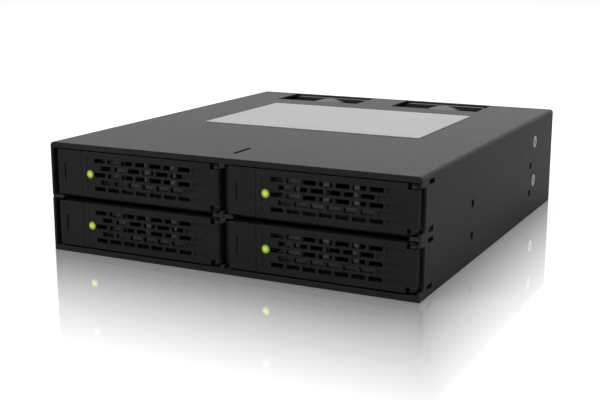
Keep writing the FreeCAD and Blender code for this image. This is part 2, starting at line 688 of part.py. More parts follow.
def build_shelf(label, left, outer_left, outer_right):
    """Shelf between two rows, with lugs that reach the front at both ends."""
    shelf = new_body(label, left, "shelf_low")
    add(shelf, "z", "0", "wall_sheet", box("0", "lug_edge", "bay_width", "board_front - wall_end_gap"))
    left_end = f"-{outer_left}"
    right_end = f"bay_width + {outer_right}"
    lug_back = "lug_slot - lug_slack"
    lugs = [box("0", "lug_setback", "lug_left", "lug_edge"),
            box("bay_width - lug_right", "lug_setback", "bay_width", "lug_edge")]
    add(shelf, "z", "0", "wall_sheet", *lugs)
    if outer_left != "0":
        add(shelf, "z", "0", "wall_sheet", box(left_end, "lug_setback", "0", lug_back))
    if outer_right != "0":
        add(shelf, "z", "0", "wall_sheet", box("bay_width", "lug_setback", right_end, lug_back))
    notch_edge = "0" if outer_left != "0" else "bay_width"
    reliefs = [middle_box(notch_edge, f"side_hole_front + {column}*side_hole_pitch",
                          "2*relief_depth", "relief_length")
               for column in (0, 1)]
    cut(shelf, "z", "0", "wall_sheet", *reliefs)
    return shelf


def build_label():
    """Bare label plate on the roof."""
    label = new_body("label_plate")
    add(label, "z", "case_height", "label_sheet",
        box("-label_length/2", "label_front", "label_length/2", "label_front + label_depth"))
    return label


def cross_section():
    """Outline of the space inside the shell, with its upper corners clipped for the bends."""
    clip = "1.5*(bend_radius - sheet)"
    return [("-inside_half", "base_top"), ("inside_half", "base_top"),
            ("inside_half", f"roof - {clip}"), (f"inside_half - {clip}", "roof"),
            (f"-inside_half + {clip}", "roof"), ("-inside_half", f"roof - {clip}")]


def build_rear_panel():
    """Rear panel with a round grille behind each fan and windows to the cable ports."""
    panel = new_body("rear_panel")
    add(panel, "y", "panel_front", "panel_sheet", cross_section())
    for side in ("-inside_half", "inside_half - panel_sheet"):
        add(panel, "y", "panel_front - panel_ear", "panel_ear",
            box(side, "base_top", f"{side} + panel_sheet", "roof - flange_drop"))
    for middle in ("fan_left", "fan_right"):
        for ring in range(GRILLE_RINGS):
            edge = f"(fan_size/2 - grille_inset - {ring}*(grille_ring + grille_bar))"
            reach = f"2*({edge} + spoke_lap)"
            cut(panel, "y", "panel_front", "panel_sheet",
                circle(middle, "fan_axis", edge), circle(middle, "fan_axis", f"{edge} - grille_ring"))
            add(panel, "y", "panel_front", "panel_sheet",
                middle_box(middle, "fan_axis", reach, "grille_spoke"))
            add(panel, "y", "panel_front", "panel_sheet",
                middle_box(middle, "fan_axis", "grille_spoke", reach))
        cut(panel, "y", "panel_front", "panel_sheet",
            *[circle(across, height, "sink_hole") for across, height in fan_screw_spots(middle)])
    cut(panel, "y", "panel_front", "panel_sheet", data_window(), power_window())
    return panel


def data_window():
    """Window to the data ports, between the fans."""
    return middle_box("gap_between_fans", "fan_axis", "data_width + 2*window_margin",
                      "3*data_pitch + data_height + 2*window_margin")


def power_window():
    """Window to the power ports, right of the fans."""
    return middle_box("power_middle", "fan_axis", "power_width + 2*window_margin",
                      "power_pitch + power_height + 2*window_margin")


def fan_screw_spots(middle):
    """Distance across and height of the two screws of a fan."""
    return [(f"{middle} + {side}*fan_hole_pitch/2", f"fan_axis + {side}*fan_hole_pitch/2")
            for side in (-1, 1)]


# The backplane

def socket_middle(left):
    """Middle of a bay's drive socket across the cage."""
    return f"{left} + bay_width/2 - socket_shift"


def board_screw_spots():
    """Distance across and height of the board's screws."""
    across = "inside_half - board_screw_inset"
    return [(f"{side}*({across})", height)
            for side in (-1, 1) for height in ("board_screw_low", "board_screw_high")]


def build_board():
    """Backplane board with an air window over each socket and notches at the side holes."""
    board = new_body("backplane_board")
    half = "(inside_half - board_edge)"
    add(board, "y", "board_front", "board", box(f"-{half}", "base_top + board_foot", half, "roof - board_head"))
    notches = [middle_box(f"{side}*{half}", f"side_hole_low + {row}*side_hole_rise",
                          "2*board_notch", "2*board_notch")
               for side in (-1, 1) for row in (0, 1)]
    cut(board, "y", "board_front", "board", *notches)
    for name, left, low in TRAYS:
        height = f"{low} + socket_rise + socket_height/2 + board_window_rise + board_window_height/2"
        windows = [middle_box(f"{socket_middle(left)} + {step}*(board_window + board_window_gap)", height,
                              "board_window", "board_window_height") for step in (-1, 0, 1)]
        cut(board, "y", "board_front", "board", *windows)
    cut(board, "y", "board_front", "board", *[circle(a, b, "sink_shank") for a, b in board_screw_spots()])
    return board


def build_frame():
    """Sheet frame that carries the board, open behind it, with flanges to the side walls."""
    frame = new_body("backplane_frame")
    add(frame, "y", "frame_front", "frame_sheet", cross_section())
    for side in ("-inside_half", "inside_half - frame_sheet"):
        add(frame, "y", "frame_front", "frame_flange",
            box(side, "base_top", f"{side} + frame_sheet", "roof - flange_drop"))
    cut(frame, "y", "frame_front", "frame_sheet", data_window(), power_window())
    for middle in ("fan_left", "fan_right"):
        for side in (-1, 1):
            across = f"{middle} + {side}*frame_window_across"
            for row in (-1, 1):
                cut(frame, "y", "frame_front", "frame_sheet",
                    middle_box(across, f"fan_axis + {row}*frame_window_rise",
                               "frame_window_width", "frame_window_height"))
    cut(frame, "y", "frame_front", "frame_sheet", *[circle(a, b, "sink_shank") for a, b in board_screw_spots()])
    flange_holes = [circle(depth, height, "sink_shank") for depth, height in side_screw_spots()]
    for start in ("-inside_half", "inside_half - frame_sheet"):
        cut(frame, "x", start, "frame_sheet", *flange_holes)
    return frame


def build_spacers():
    """Four round spacers between the board and its frame."""
    spacers = []
    for across, height in board_screw_spots():
        seat = point(across, "board_back", height)
        ring = Part.makeCylinder(size("standoff_radius"), size("standoff"), seat, Vector(0, 1, 0))
        bore = Part.makeCylinder(size("sink_shank"), size("standoff"), seat, Vector(0, 1, 0))
        spacers.append(ring.cut(bore))
    return new_feature("board_spacers", Part.makeCompound(spacers))


def build_board_screws():
    """Pan head screws through the board and its spacers into the frame."""
    screws = [pan_screw(point(across, "board_front", height), Vector(0, 1, 0),
                        "board + standoff + frame_sheet")
              for across, height in board_screw_spots()]
    return new_feature("board_screws", Part.makeCompound(screws))


def build_side_screws():
    """Countersunk screws through the side walls into the backplane frame's flanges."""
    screws = []
    for side in (-1, 1):
        for depth, height in side_screw_spots():
            seat = point(f"{side}*case_width/2", depth, height)
            screws.append(sink_screw(seat, Vector(-side, 0, 0), "sheet + frame_sheet"))
    return new_feature("side_screws", Part.makeCompound(screws))


def build_base_screws():
    """Countersunk screws that hold the base plate to the shell's lips."""
    screws = [sink_screw(point(across, depth, "0"), Vector(0, 0, 1), "sheet + base_sheet")
              for across, depth in base_screw_spots()]
    return new_feature("base_screws", Part.makeCompound(screws))


def build_socket(name, left, low):
    """Drive socket with its power and signal slots."""
    socket = new_body(f"drive_socket_{name}", socket_middle(left), f"{low} + socket_rise")
    front = "board_front - socket_depth"
    add(socket, "y", front, "socket_depth", middle_box("0", "0", "socket_width", "socket_height"))
    slots = [middle_box("-power_slot_shift", "socket_slot_rise", "power_slot", "socket_slot_height"),
             middle_box("signal_slot_shift", "socket_slot_rise", "signal_slot", "socket_slot_height")]
    cut(socket, "y", front, "socket_slot_depth", *slots)
    return socket


def build_data_port(label, height):
    """Two data ports stacked in one block, each with a tongue in its cavity."""
    port = new_body(label, "gap_between_fans", height)
    tall = "data_pitch + data_height"
    add(port, "y", "board_back", "port_depth", middle_box("0", "0", "data_width", tall))
    cavities = [middle_box("0", f"{side}*data_pitch/2", "data_cavity", "data_cavity_height")
                for side in (-1, 1)]
    cut(port, "y", "board_back + port_floor", "port_depth", *cavities)
    tongues = [middle_box("-tongue_shift", f"{side}*data_pitch/2 + tongue_rise", "data_tongue", "port_tongue")
               for side in (-1, 1)]
    add(port, "y", "board_back + port_floor - port_root", "port_depth - port_floor", *tongues)
    return port


def build_power_port(label, height):
    """Power port with a long tongue in its cavity."""
    port = new_body(label, "power_middle", height)
    add(port, "y", "board_back", "port_depth", middle_box("0", "0", "power_width", "power_height"))
    cut(port, "y", "board_back + port_floor", "port_depth",
        middle_box("0", "0", "power_width - 2*port_wall", "power_cavity_height"))
    add(port, "y", "board_back + port_floor - port_root", "port_depth - port_floor",
        middle_box("0", "tongue_rise", "power_tongue", "port_tongue"))
    return port


def build_lamps():
    """Status lamps on the board, one behind each light guide."""
    lamps = []
    for name, left, low in TRAYS:
        across = f"{left} + guide_across"
        seat = point(f"{across} - lamp_width/2", "board_front - lamp", f"{low} + guide_height - lamp/2")
        lamps.append(Part.makeBox(size("lamp_width"), size("lamp"), size("lamp"), seat))
    return new_feature("status_lamps", Part.makeCompound(lamps))


# The fans

def build_fan_frame(label, middle):
    """Fan frame: square end flanges on a round duct, struts to the motor's seat."""
    fan = new_body(label, middle, "fan_axis")
    half = "fan_size/2"
    flange = middle_box("0", "0", "fan_size", "fan_size")
    last = "fan_front + fan_depth - fan_flange"
    add(fan, "y", "fan_front", "fan_depth", flange)
    corners = [Vector(a * size(half), 0, b * size(half)) for a in (-1, 1) for b in (-1, 1)]
    round_edges(fan, Vector(0, 1, 0), corners, "fan_corner")
    waist = "fan_depth - 2*fan_flange"
    cut(fan, "y", "fan_front + fan_flange", waist,
        middle_box("0", "0", "2*fan_size", "2*fan_size"), circle("0", "0", half))
    cut(fan, "y", "fan_front", "fan_depth", circle("0", "0", f"{half} - fan_wall"))
    holes = [circle(f"{a}*fan_hole_pitch/2", f"{b}*fan_hole_pitch/2", "fan_hole")
             for a in (-1, 1) for b in (-1, 1)]
    cut(fan, "y", last, "fan_flange", *holes)
    seat = "fan_front + fan_depth - fan_strut"
    reach = "fan_size - fan_wall"
    add(fan, "y", seat, "fan_strut", circle("0", "0", "fan_hub"))
    add(fan, "y", seat, "fan_strut", middle_box("0", "0", reach, "fan_strut"))
    add(fan, "y", seat, "fan_strut", middle_box("0", "0", "fan_strut", reach))
    tube = "fan_depth/2"
    add(fan, "y", f"fan_front + fan_depth - {tube}", tube, circle("0", "0", "fan_bearing"))
    cut(fan, "y", f"fan_front + fan_depth - {tube}", tube, circle("0", "0", "fan_shaft + running_clearance"))
    return fan


def blade(root, tip, depth, lean):
    """One cambered blade: a curved strip that runs outward from the hub, leaning to the axis."""
    long = depth / 2 / math.cos(math.radians(lean))
    bow = long * 0.25
    thick = Vector(0, 0, size("blade_sheet"))
    low = [Vector(0, -long, 0), Vector(0, 0, bow), Vector(0, long, 0)]
    high = [spot + thick for spot in low]
    edges = [Part.Arc(*low).toShape(), Part.makeLine(low[2], high[2]),
             Part.Arc(*reversed(high)).toShape(), Part.makeLine(high[0], low[0])]
    strip = Part.Face(Part.Wire(edges)).extrude(Vector(tip * 1.2, 0, 0))
    strip.rotate(Vector(), Vector(1, 0, 0), lean)
    along = Vector(0, 1, 0)
    start = Vector(0, -depth / 2, 0)
    reach = Part.makeCylinder(tip, depth, start, along).cut(Part.makeCylinder(root, depth, start, along))
    return strip.common(reach)


def build_rotor(label, middle):
    """Fan rotor: a cup over the motor, a shaft, and seven blades."""
    hub = size("fan_hub")
    tip = size("fan_size/2 - fan_wall - blade_gap")
    depth = size("blade_depth")
    front = size("fan_front + rotor_setback")
    along = Vector(0, 1, 0)
    cup_depth = size("fan_depth - fan_strut - 2*rotor_setback")
    cup = Part.makeCylinder(hub, cup_depth, Vector(0, front, 0), along)
    cup = cup.cut(Part.makeCylinder(hub - size("rotor_wall"), cup_depth,
                                    Vector(0, front + size("rotor_wall"), 0), along))
    shaft = Part.makeCylinder(size("fan_shaft"), size("fan_depth - 3*rotor_setback"),
                              Vector(0, front, 0), along)
    first = blade(hub - size("rotor_wall") / 2, tip, depth, BLADE_LEAN)
    first.translate(Vector(0, front + size("rotor_setback") + depth / 2, 0))
    solid = cup.fuse(shaft)
    for step in range(BLADES):
        copy = first.copy()
        copy.rotate(Vector(), along, step * 360 / BLADES)
        solid = solid.fuse(copy)
    return new_feature(label, solid.removeSplitter(), middle, "fan_axis")


def build_fan_screws():
    """Two screws on a diagonal through the rear panel into each fan."""
    screws = []
    for middle in ("fan_left", "fan_right"):
        for across, height in fan_screw_spots(middle):
            seat = point(across, "panel_front + panel_sheet", height)
            screws.append(pan_screw(seat, Vector(0, -1, 0), "panel_sheet + fan_flange"))
    return new_feature("fan_screws", Part.makeCompound(screws))


# One tray. Distances across run from the bay's left wall, heights from the lever's lower edge.

def build_tray(name, left, low):
    """Drive tray: thin floor and sides, cooling slots, holes for the drive's screws."""
    tray = new_body(f"tray_{name}", left, low)
    bottom = "(-tray_drop)"
    top = "tray_height - tray_drop"
    length = "tray_back - bulkhead_front"
    add(tray, "y", "bulkhead_front", length, box("tray_left", bottom, "tray_right", top))
    cut(tray, "y", "bulkhead_front", length,
        box("tray_left + tray_sheet", f"{bottom} + tray_sheet", "tray_right - tray_sheet", "tray_height"))
    rear = "drive_back - drive_hole_rear"
    depths = [rear, f"{rear} - drive_hole_pitch"]
    floor_holes = [circle(f"bay_width/2 + {side}*drive_hole_spread/2", depth, "drive_hole")
                   for side in (-1, 1) for depth in depths]
    cut(tray, "z", bottom, "tray_sheet", *floor_holes)
    slots = [middle_box(f"bay_width/2 + {step}*(floor_slot + floor_slot_gap)", "drive_front + drive_length/2",
                        "floor_slot", "floor_slot_length") for step in (-1, 0, 1)]
    cut(tray, "z", bottom, "tray_sheet", *slots)
    return tray


def build_bulkhead(name, left, low):
    """Vented front of the tray, with the two ears that carry the lever's hinge pins."""
    bulkhead = new_body(f"bulkhead_{name}", left, low)
    inner_left = "tray_left + tray_sheet"
    inner_right = "tray_right - tray_sheet"
    foot = "tray_sheet - tray_drop"
    ear_top = "lever_height - hook_thickness - ear_gap"
    ear = "notch_height - hook_thickness - 2*ear_gap"
    add(bulkhead, "y", "bulkhead_front", "bulkhead", box(inner_left, foot, inner_right, ear_top))
    for height in ("lever_height - notch_height + ear_gap", "hook_thickness + ear_gap"):
        add(bulkhead, "z", height, ear,
            box("axis_across - ear_round", "axis_depth",
                "axis_across + ear_round", "bulkhead_front + bulkhead"))
        add(bulkhead, "z", height, ear, circle("axis_across", "axis_depth", "ear_round"))
        cut(bulkhead, "z", height, ear, circle("axis_across", "axis_depth", "pin_radius"))
    step = "(bulkhead_window + bulkhead_bar)"
    windows = [middle_box(f"bay_width/2 + {index}*{step} + bulkhead_shift", "lever_middle",
                          "bulkhead_window", "bulkhead_window_height") for index in (-1, 0, 1, 2)]
    cut(bulkhead, "y", "bulkhead_front", "bulkhead", *windows)
    cut(bulkhead, "y", "bulkhead_front", "bulkhead",
        middle_box("lens_across", "lever_middle", "2*guide_half", "2*guide_half"))
    return bulkhead


def build_hinge_pins(name, left, low):
    """Upper and lower hinge pins, pressed into the bulkhead's ears."""
    length = size("notch_height + pin_depth")
    pins = []
    for start in ("0", "lever_height - notch_height - pin_depth"):
        pins.append(Part.makeCylinder(size("pin_radius"), length, point("axis_across", "axis_depth", start)))
    return new_feature(f"hinge_pins_{name}", Part.makeCompound(pins), left, low)


def build_guide(name, left, low):
    """Light guide: a bent rod from the lens to the lamp on the board."""
    lens_back = "lever_depth + guide_gap"
    route = [
        point("lens_across", lens_back, "lever_middle"),
        point("lens_across", "bulkhead_front + bulkhead + guide_straight", "lever_middle"),
        point("guide_across", "bulkhead_front + bulkhead + guide_offset_end", "guide_height"),
        point("guide_across", "drive_back + guide_tail", "guide_height"),
    ]
    bend = size("guide_bend")
    edges = []
    start = route[0]
    for before, corner, after in zip(route, route[1:], route[2:]):
        to_before = (before - corner).normalize()
        to_after = (after - corner).normalize()
        half = to_before.getAngle(to_after) / 2
        tangent = bend / math.tan(half)
        inner = (to_before + to_after).normalize()
        middle = corner + inner * (bend / math.sin(half) - bend)
        first = corner + to_before * tangent
        last = corner + to_after * tangent
        edges.append(Part.makeLine(start, first))
        edges.append(Part.Arc(first, middle, last).toShape())
        start = last
    edges.append(Part.makeLine(start, route[-1]))
    path = Part.Wire(edges)
    half = size("guide_half")
    corners = [route[0] + Vector(a * half, 0, b * half) for a, b in ((-1, -1), (1, -1), (1, 1), (-1, 1))]
    section = Part.makePolygon(corners + corners[:1])
    return new_feature(f"light_guide_{name}", path.makePipeShell([section], True, False), left, low)


def build_lever(name, left, low):
    """Vented swing lever with its rim, hooks, hinge block and the latch button's seat."""
    lever = new_body(f"lever_{name}", left, low)
    tall = "lever_height"
    add(lever, "y", "0", "lever_depth", box("latch_gap", "0", "lever_right", tall))
    corner = Vector(size("lever_right"), 0, size("lever_middle"))
    round_edges(lever, Vector(0, 0, 1), [corner], "lever_round")
    block = "lever_right - hinge_block"
    seam = "latch_gap + button_width"
    floor_back = "button_room + button_floor"
    inside_low = "lever_wall"
    inside_high = "lever_height - lever_wall"
    cut(lever, "y", "lever_plate", "lever_depth", box(f"{seam} + lever_wall", inside_low, block, inside_high))
    cut(lever, "y", floor_back, "lever_depth",
        box("latch_gap + lever_wall", inside_low, f"{seam} + lever_wall + seat_lap", inside_high))
    cut(lever, "y", "0", "button_room", box("0", "-overcut", seam, "lever_height + overcut"))
    notch = "lever_right - notch_width"
    cut(lever, "y", "0", "lever_depth", box(notch, "-overcut", "bay_width", "notch_height"),
        box(notch, "lever_height - notch_height", "bay_width", "lever_height + overcut"))
    add_hooks(lever)
    add(lever, "y", "lever_plate", "lever_depth - lever_plate",
        circle("lens_across", "lever_middle", "lens_radius + lens_boss"))
    cut(lever, "y", "0", "lever_depth", circle("lens_across", "lever_middle", "lens_radius"))
    add_button_seat(lever)
    cut_vents(lever)
    return lever


def add_hooks(lever):
    """Hook plates over the ears, bored for the pins that also enter the hinge block."""
    nose = "lever_right"
    neck = "lever_right - hook_neck"
    outline = [
        ("lever_right - hook_root", "axis_depth - hook_lap"), ("axis_across", "axis_depth - hook_lap"),
        (neck, "axis_depth"), (neck, "hook_nose_front"), (nose, "hook_nose_front + hook_lead"),
        (nose, "hook_nose_back"), ("lever_right - hook_back", "hook_nose_back"),
        ("lever_right - hook_back - hook_slope", "lever_depth"), ("lever_right - hook_root", "lever_depth"),
    ]
    for height in ("0", "lever_height - hook_thickness"):
        add(lever, "z", height, "hook_thickness", outline)
        add(lever, "z", height, "hook_thickness", circle("axis_across", "axis_depth", "hook_round"))
    bore = circle("axis_across", "axis_depth", "pin_radius + running_clearance")
    depth = "notch_height + pin_depth + pin_play"
    cut(lever, "z", "0", depth, bore)
    cut(lever, "z", f"lever_height - ({depth})", depth, bore)


def cut_vents(lever):
    """Brick pattern of vent slots through the front plate, with blind slots at the row ends."""
    start = "latch_gap + vent_start"
    row = "vent_row_pitch"
    long_rows = [f"lever_middle + {index}*{row}" for index in (-2, 0, 2)]
    short_rows = [f"lever_middle + {index}*{row}" for index in (-1, 1)]

    def slots(left, rows):
        return [box(left, f"{height} - vent_height/2", f"{left} + vent_length", f"{height} + vent_height/2")
                for height in rows]

    first_long = cut(lever, "y", "0", "lever_plate", *slots(start, long_rows))
    repeat(lever, first_long, "H_Axis", "6*vent_pitch", 7)
    first_short = cut(lever, "y", "0", "lever_plate", *slots(f"{start} + vent_shift", short_rows))
    repeat(lever, first_short, "H_Axis", "5*vent_pitch", 6)
    cut(lever, "y", "0", "vent_blind", *slots(f"{start} + 7*vent_pitch", long_rows),
        *slots(f"{start} + vent_shift + 6*vent_pitch", short_rows))


def add_button_seat(lever):
    """Ears for the button's trunnions and windows for its leg and nose."""
    room = "(button_barrel + barrel_room)"
    for start in ("lever_middle - button_barrel_length/2 - barrel_gap - trunnion_length",
                  "lever_middle + button_barrel_length/2 + barrel_gap"):
        add(lever, "z", start, "trunnion_length",
            box(f"button_axis - {room}", "button_plate + face_gap", "latch_gap + button_width", "button_room"))
        cut(lever, "z", start, "trunnion_length",
            circle("button_axis", "button_axis_depth", "trunnion + running_clearance"))
    nose_low = "lever_middle - button_nose_height/2 - nose_room"
    nose_high = "lever_middle + button_nose_height/2 + nose_room"
    cut(lever, "y", "button_room", "lever_depth",
        box("latch_gap - window_lap", nose_low,
            "latch_gap + button_leg_inset + button_leg + leg_window", nose_high))


def build_button(name, left, low):
    """Latch button: a rocking face with a finger mark, a barrel, a leg and a nose."""
    button = new_body(f"latch_button_{name}", left, low)
    add(button, "y", "0", "button_plate", box("latch_gap", "0", "button_right", "lever_height"))
    mark = middle_box("latch_gap + mark_inset", "lever_middle", "mark_width", "mark_height")
    cut(button, "y", "0", "mark_depth", mark)
    barrel_low = "lever_middle - button_barrel_length/2"
    axis = circle("button_axis", "button_axis_depth", "button_barrel")
    add(button, "z", barrel_low, "button_barrel_length", axis)
    add(button, "z", barrel_low, "button_barrel_length",
        box("button_axis - button_barrel", "button_plate - button_lap",
            "button_axis + barrel_web", "button_axis_depth"))
    add(button, "z", f"{barrel_low} - trunnion_length", "button_barrel_length + 2*trunnion_length",
        circle("button_axis", "button_axis_depth", "trunnion"))
    leg_left = "latch_gap + button_leg_inset"
    nose_back = "button_nose_front + button_nose_length"
    leg = [
        (leg_left, "button_plate - button_lap"), (f"{leg_left} + button_leg", "button_plate - button_lap"),
        (f"{leg_left} + button_leg", nose_back), (f"{leg_left} - nose_slope", nose_back),
        ("nose_gap", "button_nose_front + nose_lead"),
        ("nose_gap", "button_nose_front"), (leg_left, "button_nose_front"),
    ]
    add(button, "z", "lever_middle - button_nose_height/2", "button_nose_height", leg)
    return button


def build_leaf(name, left, low):
    """Bent leaf spring between the seat's floor and the back of the button."""
    spring = new_body(f"latch_spring_{name}", left, low)
    foot = "button_axis - leaf_foot"
    outline = [
        (foot, "button_room"), (f"{foot} - leaf_foot_length", "button_room"),
        (f"{foot} - leaf_length", "button_plate + leaf_thickness"),
        (f"{foot} - leaf_length", "button_plate"),
        (f"{foot} - leaf_length + leaf_tip", "button_plate"),
        (f"{foot} - leaf_foot_length", "button_room - leaf_thickness"), (foot, "button_room - leaf_thickness"),
    ]
    add(spring, "z", "lever_middle + button_nose_height/2 + leaf_gap", "leaf_width", outline)
    return spring


def build_lens(name, left, low):
    """Clear lens in the lever's boss."""
    lens = new_body(f"lens_{name}", left, low)
    add(lens, "y", "lens_setback", "lever_depth - lens_setback",
        circle("lens_across", "lever_middle", "lens_radius"))
    return lens


def build_cage():
    """Sheet metal, backplane and fans."""
    build_shell()
    build_base()
    build_centre_wall()
    build_shelf("shelf_left", "bay_left", "sheet", "0")
    build_shelf("shelf_right", "bay_right", "0", "sheet")
    build_label()
    build_rear_panel()
    build_board()
    build_frame()
    build_spacers()
    build_board_screws()
    build_side_screws()
    build_base_screws()
    build_lamps()
    for name, left, low in TRAYS:
        build_socket(name, left, low)
    build_data_port("data_ports_low", "fan_axis - data_pitch")
    build_data_port("data_ports_high", "fan_axis + data_pitch")
    build_power_port("power_port_low", "fan_axis - power_pitch/2")
    build_power_port("power_port_high", "fan_axis + power_pitch/2")
    for side, middle in (("left", "fan_left"), ("right", "fan_right")):
        build_fan_frame(f"fan_frame_{side}", middle)
        build_rotor(f"fan_rotor_{side}", middle)
    build_fan_screws()


def build_trays():
    """The pieces of each tray."""
    for name, left, low in TRAYS:
        build_tray(name, left, low)
        build_bulkhead(name, left, low)
        build_hinge_pins(name, left, low)
        build_guide(name, left, low)
        build_lever(name, left, low)
        build_button(name, left, low)
        build_leaf(name, left, low)
        build_lens(name, left, low)


def check_document():
    """Stop if any object failed or any part has no valid shape."""
    for item in doc.Objects:
        if "Invalid" in item.State or "Error" in item.State:
            raise RuntimeError(f"{item.Name} in {item.Label} failed: {item.State}")
    for part in parts:
        if part.Shape.isNull() or not part.Shape.isValid() or not part.Shape.Solids:
            raise RuntimeError(f"{part.Label} has no valid solid")


def write_parts():
    """Write one STEP file per part."""
    os.makedirs("parts", exist_ok=True)
    for part in parts:
        part.Shape.exportStep(f"parts/{part.Label}.step")


fill_sheet()
build_cage()
build_trays()
doc.recompute()
check_document()
write_parts()
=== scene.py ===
"""Looks of a hot swap drive cage: four trays with swing levers in a powder coated steel case."""
import math

import bmesh
import bpy
from mathutils import Matrix, Vector


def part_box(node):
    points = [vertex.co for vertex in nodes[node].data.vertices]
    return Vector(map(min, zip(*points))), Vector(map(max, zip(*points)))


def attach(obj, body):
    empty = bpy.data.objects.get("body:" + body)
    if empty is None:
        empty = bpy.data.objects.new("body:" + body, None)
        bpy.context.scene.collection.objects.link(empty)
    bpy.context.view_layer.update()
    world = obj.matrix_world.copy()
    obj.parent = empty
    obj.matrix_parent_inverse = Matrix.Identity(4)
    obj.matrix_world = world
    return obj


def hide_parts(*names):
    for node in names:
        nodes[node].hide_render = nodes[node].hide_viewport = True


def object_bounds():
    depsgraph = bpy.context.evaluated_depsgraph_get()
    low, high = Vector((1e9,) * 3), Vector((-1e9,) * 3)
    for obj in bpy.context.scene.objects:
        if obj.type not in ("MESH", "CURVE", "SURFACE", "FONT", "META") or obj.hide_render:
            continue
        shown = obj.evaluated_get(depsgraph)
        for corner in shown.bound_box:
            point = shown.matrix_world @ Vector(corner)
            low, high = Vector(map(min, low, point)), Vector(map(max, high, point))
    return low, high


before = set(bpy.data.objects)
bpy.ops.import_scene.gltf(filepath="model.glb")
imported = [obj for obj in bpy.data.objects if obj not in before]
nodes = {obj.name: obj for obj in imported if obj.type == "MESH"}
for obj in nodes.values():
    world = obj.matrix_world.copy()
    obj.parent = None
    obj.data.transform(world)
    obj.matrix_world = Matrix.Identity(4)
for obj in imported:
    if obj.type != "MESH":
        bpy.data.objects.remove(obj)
cad_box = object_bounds()

MM = 0.001
TRAYS = ("lower_left", "lower_right", "upper_left", "upper_right")
FANS = ("left", "right")
SEW_GAP = 0.002 * MM
SHEET_EASE = 0.12 * MM
LEVER_EASE = 0.09 * MM
BUTTON_EASE = 0.1 * MM
TRAY_FRONT_EASE = 0.04 * MM


# Geometry trees

def new_tree(name, sizes, whole=()):
    """An empty geometry tree with one named input for each size."""
    tree = bpy.data.node_groups.new(name, "GeometryNodeTree")
    face = tree.interface
    face.new_socket("Geometry", in_out="INPUT", socket_type="NodeSocketGeometry")
    for label in sizes:
        face.new_socket(label, in_out="INPUT", socket_type="NodeSocketFloat")
    for label in whole:
        face.new_socket(label, in_out="INPUT", socket_type="NodeSocketInt")
    face.new_socket("Material", in_out="INPUT", socket_type="NodeSocketMaterial")
    face.new_socket("Geometry", in_out="OUTPUT", socket_type="NodeSocketGeometry")
    return tree, tree.nodes.new("NodeGroupInput").outputs


def feed(tree, socket, value):
    """Join a socket to another node's output, or give it a plain value."""
    if isinstance(value, bpy.types.NodeSocket):
        tree.links.new(value, socket)
    else:
        socket.default_value = value


def put(tree, kind, inputs=(), **settings):
    """Add a node, set it up and feed its inputs by name or number."""
    made = tree.nodes.new(kind)
    for name, value in settings.items():
        setattr(made, name, value)
    for key, value in dict(inputs).items():
        feed(tree, made.inputs[key], value)
    return made.outputs


def calc(tree, operation, first, second=0.0):
    """One step of arithmetic."""
    return put(tree, "ShaderNodeMath", {0: first, 1: second}, operation=operation)[0]


def place(tree, x=0.0, y=0.0, z=0.0):
    """A vector from three numbers."""
    return put(tree, "ShaderNodeCombineXYZ", {0: x, 1: y, 2: z})[0]


def deliver(tree, given, geometry):
    """End a tree: real geometry in the material that was asked for."""
    real = put(tree, "GeometryNodeRealizeInstances", {0: geometry})[0]
    dressed = put(tree, "GeometryNodeSetMaterial", {"Geometry": real, "Material": given["Material"]})[0]
    tree.links.new(dressed, tree.nodes.new("NodeGroupOutput").inputs[0])


def slot_rows_tree():
    """Rows of slots in brick bond, cut out of the mesh that comes in."""
    sizes = ("Left", "Front", "Middle", "Pitch", "Row pitch", "Shift", "Length", "Height", "Depth")
    tree, given = new_tree("slot_rows", sizes, ("Columns", "Rows"))
    count = calc(tree, "MULTIPLY", given["Columns"], given["Rows"])
    line = put(tree, "GeometryNodeMeshLine", {"Count": count})[0]
    index = put(tree, "GeometryNodeInputIndex")[0]
    row = calc(tree, "FLOOR", calc(tree, "DIVIDE", calc(tree, "ADD", index, 0.5), given["Columns"]))
    column = calc(tree, "SUBTRACT", index, calc(tree, "MULTIPLY", row, given["Columns"]))
    odd = calc(tree, "MODULO", row, 2.0)
    across = calc(tree, "ADD", given["Left"], calc(tree, "MULTIPLY", column, given["Pitch"]))
    across = calc(tree, "ADD", across, calc(tree, "MULTIPLY", odd, given["Shift"]))
    across = calc(tree, "ADD", across, calc(tree, "DIVIDE", given["Length"], 2.0))
    middle_row = calc(tree, "DIVIDE", calc(tree, "SUBTRACT", given["Rows"], 1.0), 2.0)
    centred = calc(tree, "SUBTRACT", row, middle_row)
    height = calc(tree, "ADD", given["Middle"], calc(tree, "MULTIPLY", centred, given["Row pitch"]))
    spots = put(tree, "GeometryNodeSetPosition",
                {"Geometry": line, "Position": place(tree, across, given["Front"], height)})[0]
    through = calc(tree, "MULTIPLY", given["Depth"], 2.0)
    size = place(tree, given["Length"], through, given["Height"])
    cutter = put(tree, "GeometryNodeMeshCube", {"Size": size})[0]
    copies = put(tree, "GeometryNodeInstanceOnPoints", {"Points": spots, "Instance": cutter})[0]
    cutters = put(tree, "GeometryNodeRealizeInstances", {0: copies})[0]
    cut = put(tree, "GeometryNodeMeshBoolean", {"Mesh 1": given["Geometry"], "Mesh 2": cutters},
              operation="DIFFERENCE", solver="EXACT")[0]
    deliver(tree, given, cut)
    return tree


